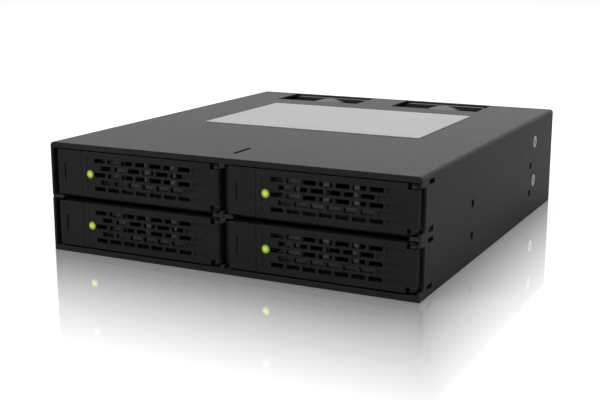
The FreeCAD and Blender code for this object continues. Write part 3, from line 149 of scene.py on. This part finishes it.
def blade_ring_tree():
    """A ring of fan blades: each a cambered strip that leans to the axis, with a real thickness."""
    sizes = ("Hub", "Tip", "Chord", "Lean", "Twist", "Bow", "Thickness", "X", "Y", "Z")
    tree, given = new_tree("blade_ring", sizes, ("Blades",))
    grid = put(tree, "GeometryNodeMeshGrid",
               {"Size X": 1.0, "Size Y": 1.0, "Vertices X": 7, "Vertices Y": 9})[0]
    spot = put(tree, "ShaderNodeSeparateXYZ", {0: put(tree, "GeometryNodeInputPosition")[0]})
    out = calc(tree, "ADD", spot[0], 0.5)
    radius = calc(tree, "ADD", given["Hub"],
                  calc(tree, "MULTIPLY", out, calc(tree, "SUBTRACT", given["Tip"], given["Hub"])))
    lean = calc(tree, "SUBTRACT", given["Lean"], calc(tree, "MULTIPLY", out, given["Twist"]))
    along = calc(tree, "MULTIPLY", spot[1], given["Chord"])
    rise = calc(tree, "SUBTRACT", 0.25, calc(tree, "MULTIPLY", spot[1], spot[1]))
    bow = calc(tree, "MULTIPLY", rise, given["Bow"])
    turn, back = calc(tree, "SINE", lean), calc(tree, "COSINE", lean)
    depth = calc(tree, "ADD", calc(tree, "MULTIPLY", along, back), calc(tree, "MULTIPLY", bow, turn))
    side = calc(tree, "SUBTRACT", calc(tree, "MULTIPLY", along, turn), calc(tree, "MULTIPLY", bow, back))
    angle = calc(tree, "DIVIDE", side, radius)
    bent = put(tree, "GeometryNodeSetPosition", {"Geometry": grid, "Position": place(
        tree, calc(tree, "MULTIPLY", radius, calc(tree, "COSINE", angle)), depth,
        calc(tree, "MULTIPLY", radius, calc(tree, "SINE", angle)))})[0]
    back_face = put(tree, "GeometryNodeFlipFaces", {0: bent})[0]
    raised = put(tree, "GeometryNodeExtrudeMesh",
                 {"Mesh": bent, "Offset Scale": given["Thickness"], "Individual": False})[0]
    solid = put(tree, "GeometryNodeJoinGeometry")
    tree.links.new(back_face, solid[0].node.inputs[0])
    tree.links.new(raised, solid[0].node.inputs[0])
    closed = put(tree, "GeometryNodeMergeByDistance", {"Geometry": solid[0], "Distance": 0.01 * MM})[0]
    ring = put(tree, "GeometryNodeMeshLine", {"Count": given["Blades"], "Offset": (0.0, 0.0, 0.0)})[0]
    step = calc(tree, "DIVIDE", 2 * math.pi, given["Blades"])
    turned = calc(tree, "MULTIPLY", put(tree, "GeometryNodeInputIndex")[0], step)
    copies = put(tree, "GeometryNodeInstanceOnPoints",
                 {"Points": ring, "Instance": closed, "Rotation": place(tree, 0.0, turned, 0.0)})[0]
    seated = put(tree, "GeometryNodeTransform",
                 {"Geometry": copies, "Translation": place(tree, given["X"], given["Y"], given["Z"])})[0]
    deliver(tree, given, seated)
    return tree


def screw_set_tree():
    """Cross recessed screws at the seats that come in; each seat's facing turns its screw from +Z."""
    sizes = ("Head", "Head height", "Head foot", "Shank", "Length", "Recess", "Recess width", "Recess depth")
    tree, given = new_tree("screw_set", sizes)
    half_height = calc(tree, "DIVIDE", given["Head height"], 2.0)
    head = put(tree, "GeometryNodeMeshCone",
               {"Vertices": 40, "Side Segments": 4, "Radius Top": given["Head"],
                "Radius Bottom": given["Head foot"], "Depth": given["Head height"]})[0]
    sunk = place(tree, 0.0, 0.0, calc(tree, "MULTIPLY", given["Head height"], -1.0))
    head = put(tree, "GeometryNodeTransform", {"Geometry": head, "Translation": sunk})[0]
    shank = put(tree, "GeometryNodeMeshCylinder",
                {"Vertices": 24, "Radius": given["Shank"], "Depth": given["Length"]})[0]
    middle = calc(tree, "MULTIPLY", calc(tree, "ADD", given["Length"], half_height), -0.5)
    shank = put(tree, "GeometryNodeTransform",
                {"Geometry": shank, "Translation": place(tree, 0.0, 0.0, middle)})[0]
    depth = calc(tree, "MULTIPLY", given["Recess depth"], 2.0)
    bars = []
    for size in ((given["Recess"], given["Recess width"]), (given["Recess width"], given["Recess"])):
        bars.append(put(tree, "GeometryNodeMeshCube", {"Size": place(tree, *size, depth)})[0])
    cut = put(tree, "GeometryNodeMeshBoolean", {"Mesh 1": head}, operation="DIFFERENCE", solver="EXACT")
    for bar in bars:
        tree.links.new(bar, cut[0].node.inputs["Mesh 2"])
    whole = put(tree, "GeometryNodeMeshBoolean", operation="UNION", solver="EXACT")
    tree.links.new(cut[0], whole[0].node.inputs["Mesh 2"])
    tree.links.new(shank, whole[0].node.inputs["Mesh 2"])
    facing = put(tree, "GeometryNodeInputNamedAttribute", {"Name": "facing"}, data_type="FLOAT_VECTOR")[0]
    copies = put(tree, "GeometryNodeInstanceOnPoints",
                 {"Points": given["Geometry"], "Instance": whole[0], "Rotation": facing})[0]
    deliver(tree, given, copies)
    return tree


def contact_comb_tree():
    """A comb of flat contact strips along X."""
    tree, given = new_tree("contact_comb", ("X", "Y", "Z", "Pitch", "Width", "Depth", "Height"), ("Count",))
    start = place(tree, given["X"], given["Y"], given["Z"])
    line = put(tree, "GeometryNodeMeshLine", {"Count": given["Count"], "Offset": place(tree, given["Pitch"]),
                                              "Start Location": start})[0]
    size = place(tree, given["Width"], given["Depth"], given["Height"])
    strip = put(tree, "GeometryNodeMeshCube", {"Size": size})[0]
    copies = put(tree, "GeometryNodeInstanceOnPoints", {"Points": line, "Instance": strip})[0]
    deliver(tree, given, copies)
    return tree


# Making pieces

def new_piece(name, mesh, material=None):
    """An object in the scene for a mesh that is already in its place."""
    piece = bpy.data.objects.new(name, mesh)
    bpy.context.scene.collection.objects.link(piece)
    if material:
        mesh.materials.clear()
        mesh.materials.append(material)
    return piece


def set_in_place(piece):
    """Keep what the modifiers make as a plain mesh."""
    depsgraph = bpy.context.evaluated_depsgraph_get()
    made = bpy.data.meshes.new_from_object(piece.evaluated_get(depsgraph), depsgraph=depsgraph)
    piece.modifiers.clear()
    piece.data = made
    return piece


def grow(piece, tree, material, **sizes):
    """Run a geometry tree on a piece; sizes are given with underscores for spaces."""
    step = piece.modifiers.new("build", "NODES")
    step.node_group = tree
    wanted = {name.replace("_", " "): value for name, value in sizes.items()}
    wanted["Material"] = material
    for item in tree.interface.items_tree:
        if item.in_out == "INPUT" and item.name in wanted:
            step[item.identifier] = wanted[item.name]
    return set_in_place(piece)


def flats_whole(mesh):
    """Sew a mesh together and lay its flats out in as few three and four sided faces as they need."""
    shell = bmesh.new()
    shell.from_mesh(mesh)
    bmesh.ops.remove_doubles(shell, verts=shell.verts, dist=SEW_GAP)
    bmesh.ops.dissolve_limit(shell, angle_limit=math.radians(0.5), verts=shell.verts, edges=shell.edges)
    bmesh.ops.triangulate(shell, faces=[face for face in shell.faces if len(face.verts) > 4])
    bmesh.ops.join_triangles(shell, faces=shell.faces, angle_face_threshold=math.radians(1),
                             angle_shape_threshold=math.pi)
    shell.to_mesh(mesh)
    shell.free()
    return mesh


def joined_copy(node):
    """A copy of a CAD part's mesh, sewn together."""
    return flats_whole(nodes[node].data.copy())


def solid_boxes(node):
    """The boxes of the separate solids in a CAD part, in order."""
    work = bmesh.new()
    work.from_mesh(nodes[node].data)
    bmesh.ops.remove_doubles(work, verts=work.verts, dist=SEW_GAP)
    left = set(work.verts)
    boxes = []
    while left:
        front = [left.pop()]
        corner = [front[0].co.copy(), front[0].co.copy()]
        while front:
            spot = front.pop()
            for axis in range(3):
                corner[0][axis] = min(corner[0][axis], spot.co[axis])
                corner[1][axis] = max(corner[1][axis], spot.co[axis])
            for edge in spot.link_edges:
                other = edge.other_vert(spot)
                if other in left:
                    left.remove(other)
                    front.append(other)
        boxes.append((Vector(corner[0]), Vector(corner[1])))
    work.free()
    return sorted(boxes, key=lambda pair: tuple(round(value, 5) for value in pair[0]))


def ease_edges(piece, width, segments=2, angle=32.0):
    """Round a piece's cut edges and shade its flats flat."""
    flats_whole(piece.data)
    bevel = piece.modifiers.new("ease", "BEVEL")
    bevel.width = width
    bevel.segments = segments
    bevel.limit_method = "ANGLE"
    bevel.angle_limit = math.radians(angle)
    bevel.use_clamp_overlap = False
    bevel.loop_slide = False
    bevel.face_strength_mode = "FSTR_ALL"
    piece.data.shade_smooth()
    weighted = piece.modifiers.new("flats", "WEIGHTED_NORMAL")
    weighted.keep_sharp = True
    weighted.use_face_influence = True
    return set_in_place(piece)


def stand_in(piece, node, body):
    """Put a piece in a CAD part's place on a body."""
    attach(piece, body)
    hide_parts(node)
    return piece


def eased(name, node, material, body, width=SHEET_EASE, segments=2):
    """A CAD part's shape with its edges eased, in place of the bare part."""
    piece = new_piece(name, joined_copy(node), material)
    ease_edges(piece, width, segments)
    return stand_in(piece, node, body)


def sewn(name, node, material, body):
    """A CAD part's own shape, sewn together, its curves shaded smooth."""
    mesh = nodes[node].data.copy()
    shell = bmesh.new()
    shell.from_mesh(mesh)
    bmesh.ops.remove_doubles(shell, verts=shell.verts, dist=SEW_GAP)
    shell.to_mesh(mesh)
    shell.free()
    mesh.shade_smooth()
    mesh.set_sharp_from_angle(angle=math.radians(14))
    piece = new_piece(name, mesh, material)
    weighted = piece.modifiers.new("flats", "WEIGHTED_NORMAL")
    weighted.keep_sharp = True
    return stand_in(set_in_place(piece), node, body)


def turned(name, profile, centre, material, steps=48):
    """A piece turned about a line along Y: the profile is (radius, depth) pairs from centre to centre."""
    work = bmesh.new()
    rings = []
    for radius, depth in profile:
        if radius < 1e-7:
            rings.append([work.verts.new((centre[0], depth, centre[2]))])
            continue
        ring = []
        for step in range(steps):
            angle = 2 * math.pi * step / steps
            ring.append(work.verts.new((centre[0] + radius * math.cos(angle), depth,
                                        centre[2] + radius * math.sin(angle))))
        rings.append(ring)
    for first, second in zip(rings, rings[1:]):
        for step in range(steps):
            after = (step + 1) % steps
            if len(first) == 1:
                work.faces.new((first[0], second[after], second[step]))
            elif len(second) == 1:
                work.faces.new((first[step], first[after], second[0]))
            else:
                work.faces.new((first[step], first[after], second[after], second[step]))
    bmesh.ops.recalc_face_normals(work, faces=work.faces)
    mesh = bpy.data.meshes.new(name)
    work.to_mesh(mesh)
    work.free()
    mesh.shade_smooth()
    mesh.set_sharp_from_angle(angle=math.radians(50))
    return new_piece(name, mesh, material)


# Finishes

def new_finish(name):
    """An empty material and its shader."""
    material = bpy.data.materials.new(name)
    material.use_nodes = True
    tree = material.node_tree
    shader = tree.nodes["Principled BSDF"]
    return material, tree, shader


def noise(tree, scale, detail=3.0, stretch=(1, 1, 1)):
    """Noise in the piece's own space, with a scale per metre."""
    where = put(tree, "ShaderNodeTexCoord")["Object"]
    laid = put(tree, "ShaderNodeMapping", {"Vector": where, "Scale": stretch})[0]
    return put(tree, "ShaderNodeTexNoise", {"Vector": laid, "Scale": scale, "Detail": detail})[0]


def spread(tree, value, low, high):
    """Bring noise into a range."""
    return put(tree, "ShaderNodeMapRange", {"Value": value, 1: 0.3, 2: 0.7, 3: low, 4: high})[0]


def blend_colour(tree, share, first, second):
    """Mix two colours."""
    mixed = tree.nodes.new("ShaderNodeMix")
    mixed.data_type = "RGBA"
    feed(tree, mixed.inputs[0], share)
    mixed.inputs[6].default_value = (*first, 1.0)
    mixed.inputs[7].default_value = (*second, 1.0)
    return mixed.outputs[2]


def coat(name, colour, rough, grain=2600.0, relief=0.012, level=0.5, metal=0.0, vary=0.12, stretch=(1, 1, 1)):
    """A coat, cast or moulded finish: slight mottling, fine grain and uneven gloss."""
    material, tree, shader = new_finish(name)
    mottle = noise(tree, 60.0, 4.0)
    dark = tuple(value * (1 - vary) for value in colour)
    light = tuple(min(1.0, value * (1 + vary)) for value in colour)
    feed(tree, shader.inputs["Base Color"], blend_colour(tree, spread(tree, mottle, 0.0, 1.0), dark, light))
    fine = noise(tree, grain, 2.0, stretch)
    feed(tree, shader.inputs["Roughness"], spread(tree, fine, rough - 0.05, rough + 0.06))
    shader.inputs["Metallic"].default_value = metal
    shader.inputs["Specular IOR Level"].default_value = level
    bump = put(tree, "ShaderNodeBump", {"Height": fine, "Strength": 0.4, "Distance": relief * MM})[0]
    feed(tree, shader.inputs["Normal"], bump)
    return material


def clear(name, colour, rough=0.12):
    """Clear moulded acrylic, slightly clouded."""
    material, tree, shader = new_finish(name)
    cloud = noise(tree, 420.0)
    light = tuple(min(1.0, value * 1.08) for value in colour)
    feed(tree, shader.inputs["Base Color"], blend_colour(tree, spread(tree, cloud, 0.0, 1.0), colour, light))
    feed(tree, shader.inputs["Roughness"], spread(tree, cloud, rough, rough + 0.1))
    shader.inputs["Transmission Weight"].default_value = 0.7
    shader.inputs["IOR"].default_value = 1.49
    return material


def glowing(name, core, rim, strength):
    """A lens lit from behind: bright in the middle, deeper towards its rim, by the piece's own glow value."""
    material, tree, shader = new_finish(name)
    glow = put(tree, "ShaderNodeAttribute", attribute_name="glow")["Fac"]
    cloud = noise(tree, 900.0)
    share = calc(tree, "MULTIPLY", glow, spread(tree, cloud, 0.92, 1.0))
    colour = blend_colour(tree, share, rim, core)
    feed(tree, shader.inputs["Base Color"], colour)
    feed(tree, shader.inputs["Emission Color"], colour)
    shader.inputs["Emission Strength"].default_value = strength
    feed(tree, shader.inputs["Roughness"], spread(tree, cloud, 0.1, 0.2))
    return material


def sheet_with_shaded_ears(name, plate, ears, rough):
    """One sheet with painted shade: its bent ears are darker than its plate, by the piece's own ear value."""
    material, tree, shader = new_finish(name)
    ear = put(tree, "ShaderNodeAttribute", attribute_name="ear")["Fac"]
    grain = noise(tree, 500.0, 3.0, (1, 12, 1))
    share = calc(tree, "MAXIMUM", ear, spread(tree, grain, 0.0, 0.12))
    feed(tree, shader.inputs["Base Color"], blend_colour(tree, share, plate, ears))
    feed(tree, shader.inputs["Roughness"], spread(tree, grain, rough - 0.05, rough + 0.06))
    shader.inputs["Specular IOR Level"].default_value = 0.3
    return material


def film(name, colour, low, high):
    """A bare silver-grey label film with one thin printed frame inside its edge."""
    material, tree, shader = new_finish(name)
    spot = put(tree, "ShaderNodeSeparateXYZ", {0: put(tree, "ShaderNodeTexCoord")["Object"]})
    inside = []
    for inset in (5.0 * MM, 5.35 * MM):
        reach = []
        for axis in (0, 1):
            middle = (low[axis] + high[axis]) / 2
            half = (high[axis] - low[axis]) / 2 - inset
            away = calc(tree, "ABSOLUTE", calc(tree, "SUBTRACT", spot[axis], middle))
            reach.append(calc(tree, "LESS_THAN", away, half))
        inside.append(calc(tree, "MULTIPLY", *reach))
    line = calc(tree, "SUBTRACT", *inside)
    satin = noise(tree, 900.0, 3.0, (1.0, 8.0, 1.0))
    cloud = noise(tree, 30.0)
    light = tuple(min(1.0, value * 1.07) for value in colour)
    base = blend_colour(tree, spread(tree, cloud, 0.0, 1.0), colour, light)
    marked = tree.nodes.new("ShaderNodeMix")
    marked.data_type = "RGBA"
    feed(tree, marked.inputs[0], calc(tree, "MULTIPLY", line, 0.35))
    feed(tree, marked.inputs[6], base)
    marked.inputs[7].default_value = (0.25, 0.25, 0.26, 1.0)
    feed(tree, shader.inputs["Base Color"], marked.outputs[2])
    feed(tree, shader.inputs["Roughness"], spread(tree, satin, 0.38, 0.5))
    feed(tree, shader.inputs["Normal"],
         put(tree, "ShaderNodeBump", {"Height": satin, "Strength": 0.2, "Distance": 0.004 * MM})[0])
    return material


CASE = coat("case_powder_coat", (0.022, 0.022, 0.0225), 0.4, level=0.09)
CASE_INSIDE = coat("inner_powder_coat", (0.022, 0.022, 0.0225), 0.5, level=0.2)
LEVER = coat("lever_satin_coat", (0.015, 0.015, 0.0155), 0.42, 1800.0, level=0.14)
BUTTON = coat("button_moulding", (0.0145, 0.0145, 0.015), 0.45, 3200.0, level=0.14)
PIN = coat("pin_black_oxide", (0.03, 0.03, 0.031), 0.35, 1600.0, 0.004, metal=0.6)
MOULDED = coat("connector_moulding", (0.018, 0.018, 0.019), 0.5, 3000.0, level=0.3)
FAN = coat("fan_moulding", (0.022, 0.022, 0.023), 0.4, 2200.0, level=0.35)
STEEL = coat("tray_zinc_sheet", (0.42, 0.42, 0.43), 0.38, 500.0, 0.006, metal=0.9, stretch=(1, 12, 1))
# The tray front's dark ears are painted shade on one sheet, not a second paint.
TRAY_FRONT = sheet_with_shaded_ears("tray_front_sheet", (0.62, 0.62, 0.63), (0.045, 0.045, 0.046), 0.5)
SPRING = coat("spring_strip", (0.52, 0.52, 0.53), 0.28, 900.0, 0.004, metal=1.0, stretch=(1, 1, 10))
SCREW = coat("screw_zinc", (0.5, 0.5, 0.51), 0.34, 1400.0, 0.004, metal=0.85)
GOLD = coat("contact_gold", (0.75, 0.52, 0.18), 0.25, 1400.0, 0.003, metal=1.0)
BOARD = coat("solder_mask", (0.012, 0.075, 0.03), 0.3, 700.0, 0.01)
GUIDE = clear("light_guide_acrylic", (0.5, 0.51, 0.47))
LAMP = clear("lamp_resin", (0.5, 0.8, 0.2))
LENS = glowing("lit_lens", (0.64, 0.86, 0.13), (0.05, 0.09, 0.004), 0.42)
LABEL = film("label_film", (0.49, 0.49, 0.495), *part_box("label_plate"))


# The case

for piece_name, node, finish, slot in (
        ("case_shell", "outer_shell", CASE, "case_black"),
        ("case_base", "base_plate", CASE, "case_black"),
        ("case_rear_panel", "rear_panel", CASE, "case_black"),
        ("bay_wall", "centre_wall", CASE_INSIDE, "inner_steel"),
        ("bay_shelf_left", "shelf_left", CASE_INSIDE, "inner_steel"),
        ("bay_shelf_right", "shelf_right", CASE_INSIDE, "inner_steel"),
        ("board_frame", "backplane_frame", CASE_INSIDE, "inner_steel")):
    eased(piece_name, node, finish, "cage", SHEET_EASE)
for side in FANS:
    sewn("fan_case_" + side, "fan_frame_" + side, FAN, "cage")


# Levers, buttons and lenses

EARS_FROM = 59 * MM
ROWS = 5
ROW_PITCH = 2.6 * MM
ROW_SHIFT = 1.2 * MM
VENT_PITCH = 6 * MM
LENS_GROOVE = dict(Length=0.35 * MM, Height=1.7 * MM, Depth=0.3 * MM, Shift=0.0)
LENS_GROOVE_BACK = 1.2 * MM
END_GROOVE = dict(Length=3.6 * MM, Height=0.25 * MM, Depth=0.2 * MM, Shift=ROW_SHIFT)
END_GROOVE_FROM = 61.5 * MM
LENS_RISE = 0.35 * MM
LENS_FACE = 0.4 * MM
DOME_STEPS = 8
slot_rows = slot_rows_tree()
for tray in TRAYS:
    low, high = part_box("lever_" + tray)
    middle = (low.z + high.z) / 2
    lever = new_piece("swing_lever_" + tray, joined_copy("lever_" + tray), LEVER)
    lens_low, lens_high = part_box("lens_" + tray)
    lens_middle = (lens_low.x + lens_high.x) / 2
    for left, groove in ((lens_middle - LENS_GROOVE_BACK, LENS_GROOVE),
                         (low.x + END_GROOVE_FROM, END_GROOVE)):
        grow(lever, slot_rows, LEVER, Left=left, Front=low.y, Middle=middle, Pitch=VENT_PITCH,
             Row_pitch=ROW_PITCH, Columns=1, Rows=ROWS, **groove)
    ease_edges(lever, LEVER_EASE)
    stand_in(lever, "lever_" + tray, "lever_" + tray)
    eased("push_button_" + tray, "latch_button_" + tray, BUTTON, "latch_" + tray, BUTTON_EASE)
    tray_front = eased("tray_front_" + tray, "bulkhead_" + tray, TRAY_FRONT, "tray_" + tray,
                       TRAY_FRONT_EASE)
    # The ear value marks where the painted shade goes.
    ear = tray_front.data.attributes.new("ear", "FLOAT", "POINT")
    for index, vertex in enumerate(tray_front.data.vertices):
        ear.data[index].value = 1.0 if vertex.co.x > low.x + EARS_FROM else 0.0

    centre = (lens_middle, 0.0, (lens_low.z + lens_high.z) / 2)
    radius = (lens_high.x - lens_low.x) / 2
    front, back = lens_low.y, lens_high.y
    profile = [(0.0, back), (radius, back), (radius, front + LENS_RISE)]
    for step in range(1, DOME_STEPS):
        angle = math.pi / 2 * step / DOME_STEPS
        profile.append((radius * math.cos(angle), front + LENS_RISE * (1 - math.sin(angle))))
    profile.append((0.0, front))
    lens = turned("lit_lens_" + tray, profile, centre, LENS, 40)
    glow = lens.data.attributes.new("glow", "FLOAT", "POINT")
    for index, vertex in enumerate(lens.data.vertices):
        away = math.hypot(vertex.co.x - centre[0], vertex.co.z - centre[2]) / radius
        faces_front = vertex.co.y < front + LENS_FACE
        glow.data[index].value = max(0.0, 1 - away ** 1.2) if faces_front else 0.0
    stand_in(lens, "lens_" + tray, "lever_" + tray)


# Fans

HUB = 9.6 * MM
HUB_DEPTH = 15.0 * MM
HUB_WALL = 1.4 * MM
HUB_ROUNDING = 1.2 * MM
ROUNDING_STEPS = 4
blade_ring = blade_ring_tree()
for side in FANS:
    node = "fan_rotor_" + side
    low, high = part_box(node)
    centre = (low + high) / 2
    tip = (high.x - low.x) / 2
    front = low.y
    profile = [(0.0, front), (HUB - HUB_ROUNDING, front)]
    for step in range(1, ROUNDING_STEPS + 1):
        angle = math.pi / 2 * step / ROUNDING_STEPS
        profile.append((HUB - HUB_ROUNDING + HUB_ROUNDING * math.sin(angle),
                        front + HUB_ROUNDING * (1 - math.cos(angle))))
    profile += [(HUB, front + HUB_DEPTH), (HUB - HUB_WALL, front + HUB_DEPTH),
                (HUB - HUB_WALL, front + HUB_WALL), (0.0, front + HUB_WALL)]
    rotor = turned("rotor_hub_" + side, profile, centre, FAN, 64)
    stand_in(rotor, node, node)
    ring = new_piece("rotor_blades_" + side, bpy.data.meshes.new("blades"))
    grow(ring, blade_ring, FAN, Hub=HUB - 0.5 * MM, Tip=tip, Chord=13.5 * MM, Lean=math.radians(52),
         Twist=math.radians(14), Bow=3.0 * MM, Thickness=0.8 * MM, X=centre.x, Y=front + 7.2 * MM,
         Z=centre.z, Blades=7)
    ring.data.shade_smooth()
    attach(ring, node)


# Screws

screw_set = screw_set_tree()


def seats_of(name, spots, facings):
    """A mesh of bare points, one for each screw, with the way that it faces."""
    mesh = bpy.data.meshes.new(name)
    mesh.from_pydata([tuple(spot) for spot in spots], [], [])
    facing = mesh.attributes.new("facing", "FLOAT_VECTOR", "POINT")
    for index, value in enumerate(facings):
        facing.data[index].vector = value
    return mesh


def screws(name, node, axis, body, turns, **sizes):
    """Screws for a CAD group of screws whose heads look outward along an axis."""
    spots, facings = [], []
    for index, (low, high) in enumerate(solid_boxes(node)):
        middle = (low + high) / 2
        outward = 1 if middle[axis] > (0.0 if axis == 0 else -1.0) else -1
        if axis == 2:
            outward = -1
        middle[axis] = high[axis] if outward > 0 else low[axis]
        spin = turns[index % len(turns)]
        if axis == 0:
            turn = Matrix.Rotation(outward * math.pi / 2, 3, "Y")
        elif axis == 1:
            turn = Matrix.Rotation(-math.pi / 2, 3, "X")
        else:
            turn = Matrix.Rotation(math.pi, 3, "X")
        turn = turn @ Matrix.Rotation(math.radians(spin), 3, "Z")
        spots.append(middle)
        facings.append(tuple(turn.to_euler()))
    piece = new_piece(name, seats_of(name, spots, facings))
    grow(piece, screw_set, SCREW, **sizes)
    piece.data.shade_smooth()
    piece.data.set_sharp_from_angle(angle=math.radians(35))
    return stand_in(piece, node, body)


SUNK = dict(Head=2.55 * MM, Head_height=1.3 * MM, Head_foot=1.25 * MM, Shank=1.25 * MM, Length=3.0 * MM,
            Recess=2.9 * MM, Recess_width=0.75 * MM, Recess_depth=0.9 * MM)
PAN = dict(Head=2.6 * MM, Head_height=1.4 * MM, Head_foot=2.5 * MM, Shank=1.25 * MM, Length=5.0 * MM,
           Recess=2.7 * MM, Recess_width=0.7 * MM, Recess_depth=0.9 * MM)
screws("side_screw_set", "side_screws", 0, "cage", (12, 48, 70, 25), **SUNK)
screws("base_screw_set", "base_screws", 2, "cage", (5, 33, 61, 80), **SUNK)
screws("fan_screw_set", "fan_screws", 1, "cage", (20, 65, 40, 8), **PAN)


# What stays as the construction made it gets its finish

KEPT = {
    "label_plate": LABEL, "backplane_board": BOARD, "board_spacers": SCREW, "board_screws": SCREW,
    "status_lamps": LAMP, "data_ports_low": MOULDED, "data_ports_high": MOULDED,
    "power_port_low": MOULDED, "power_port_high": MOULDED,
}
for tray in TRAYS:
    KEPT["drive_socket_" + tray] = MOULDED
    KEPT["tray_" + tray] = STEEL
    KEPT["hinge_pins_" + tray] = PIN
    KEPT["light_guide_" + tray] = GUIDE
    KEPT["latch_spring_" + tray] = SPRING
for node, material in KEPT.items():
    for place_in_list in nodes[node].material_slots:
        place_in_list.material = material
    if not nodes[node].material_slots:
        nodes[node].data.materials.append(material)


# Contacts

CONTACTS = 22
CONTACT_PITCH = 1.27 * MM
contact_comb = contact_comb_tree()
for tray in TRAYS:
    low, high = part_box("drive_socket_" + tray)
    comb = new_piece("drive_contacts_" + tray, bpy.data.meshes.new("contacts"))
    first = (low.x + high.x) / 2 - CONTACT_PITCH * (CONTACTS - 1) / 2
    grow(comb, contact_comb, GOLD, X=first, Y=low.y + 2.2 * MM, Z=(low.z + high.z) / 2, Pitch=CONTACT_PITCH,
         Width=0.6 * MM, Depth=3.6 * MM, Height=1.3 * MM, Count=CONTACTS)
    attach(comb, "cage")


# Room, lamps and camera

MIRROR_SHARE = 0.82
MIRROR_BESIDE = 44 * MM
MIRROR_BEFORE = 104 * MM
FLOOR_HALF = 4.0


def room():
    """A pale gloss floor that mirrors the case near its foot, on a white ground."""
    low, high = cad_box
    mesh = bpy.data.meshes.new("floor")
    half = FLOOR_HALF
    mesh.from_pydata([(-half, -half, low.z), (half, -half, low.z), (half, half, low.z), (-half, half, low.z)],
                     [], [(0, 1, 2, 3)])
    material, tree, shader = new_finish("gloss_floor")
    tree.nodes.remove(shader)
    spot = put(tree, "ShaderNodeSeparateXYZ", {0: put(tree, "ShaderNodeTexCoord")["Object"]})
    beside = calc(tree, "SUBTRACT", calc(tree, "ABSOLUTE", spot[0]), high.x)
    beside = calc(tree, "DIVIDE", beside, MIRROR_BESIDE)
    before = calc(tree, "SUBTRACT", calc(tree, "ABSOLUTE", spot[1]), high.y)
    before = calc(tree, "DIVIDE", before, MIRROR_BEFORE)
    away = calc(tree, "MAXIMUM", calc(tree, "MAXIMUM", beside, before), 0.0)
    fade = calc(tree, "MAXIMUM", calc(tree, "SUBTRACT", 1.0, away), 0.0)
    mirror = calc(tree, "MULTIPLY", fade, MIRROR_SHARE)
    pale = put(tree, "ShaderNodeBsdfDiffuse", {"Color": (0.86, 0.86, 0.86, 1.0)})[0]
    lift = put(tree, "ShaderNodeEmission", {"Color": (1, 1, 1, 1), "Strength": 0.62})[0]
    ground = put(tree, "ShaderNodeAddShader", {0: pale, 1: lift})[0]
    gloss = put(tree, "ShaderNodeBsdfGlossy", {"Color": (1, 1, 1, 1), "Roughness": 0.03})[0]
    seen = put(tree, "ShaderNodeMixShader", {0: mirror, 1: ground, 2: gloss})[0]
    matt = put(tree, "ShaderNodeBsdfDiffuse", {"Color": (0.7, 0.7, 0.7, 1.0)})[0]
    ray = put(tree, "ShaderNodeLightPath")
    both = put(tree, "ShaderNodeMixShader", {0: ray["Is Camera Ray"], 1: matt, 2: seen})[0]
    feed(tree, tree.nodes["Material Output"].inputs["Surface"], both)
    floor = new_piece("floor", mesh, material)

    world = bpy.data.worlds.new("studio")
    bpy.context.scene.world = world
    world.use_nodes = True
    tree = world.node_tree
    ray = put(tree, "ShaderNodeLightPath")
    shown = calc(tree, "MAXIMUM", ray["Is Camera Ray"],
                 calc(tree, "MAXIMUM", ray["Is Glossy Ray"], ray["Is Transmission Ray"]))
    fill = put(tree, "ShaderNodeBackground", {"Color": (1, 1, 1, 1), "Strength": 0.35})[0]
    white = put(tree, "ShaderNodeBackground", {"Color": (1, 1, 1, 1), "Strength": 1.0})[0]
    mixed = put(tree, "ShaderNodeMixShader", {0: shown, 1: fill, 2: white})[0]
    feed(tree, tree.nodes["World Output"].inputs["Surface"], mixed)


def lamp(name, spot, size, power):
    """A soft box that looks at the middle of the case."""
    data = bpy.data.lights.new(name, "AREA")
    data.shape = "SQUARE"
    data.size = size
    data.energy = power
    made = bpy.data.objects.new(name, data)
    bpy.context.scene.collection.objects.link(made)
    made.location = spot
    made.rotation_mode = "QUATERNION"
    made.rotation_quaternion = (Vector((0, 0, 0.02)) - Vector(spot)).to_track_quat("-Z", "Y")


def camera():
    """The camera that takes the case from its front right."""
    azimuth, elevation, roll = math.radians(26.442), math.radians(12.827), math.radians(0.061)
    back = Vector((math.sin(azimuth) * math.cos(elevation), -math.cos(azimuth) * math.cos(elevation),
                   math.sin(elevation)))
    across = Vector((0, 0, 1)).cross(back).normalized()
    up = back.cross(across)
    right = across * math.cos(roll) + up * math.sin(roll)
    up = up * math.cos(roll) - across * math.sin(roll)
    data = bpy.data.cameras.new("camera")
    data.lens = 65.22
    data.sensor_width = 36.0
    made = bpy.data.objects.new("camera", data)
    bpy.context.scene.collection.objects.link(made)
    turn = Matrix((right, up, back)).transposed().to_4x4()
    turn.translation = Vector((186.59, -398.25, 109.54)) * MM
    made.matrix_world = turn
    data.clip_start = 0.01
    data.clip_end = 20.0
    bpy.context.scene.camera = made


room()
lamp("key_softbox", (-0.5, -0.9, 1.1), 0.8, 7.0)
lamp("side_softbox", (1.2, -0.2, 0.7), 0.7, 0.4)
lamp("top_softbox", (0.0, 0.9, 1.3), 1.0, 6.6)
camera()
bpy.context.scene.view_settings.view_transform = "Standard"
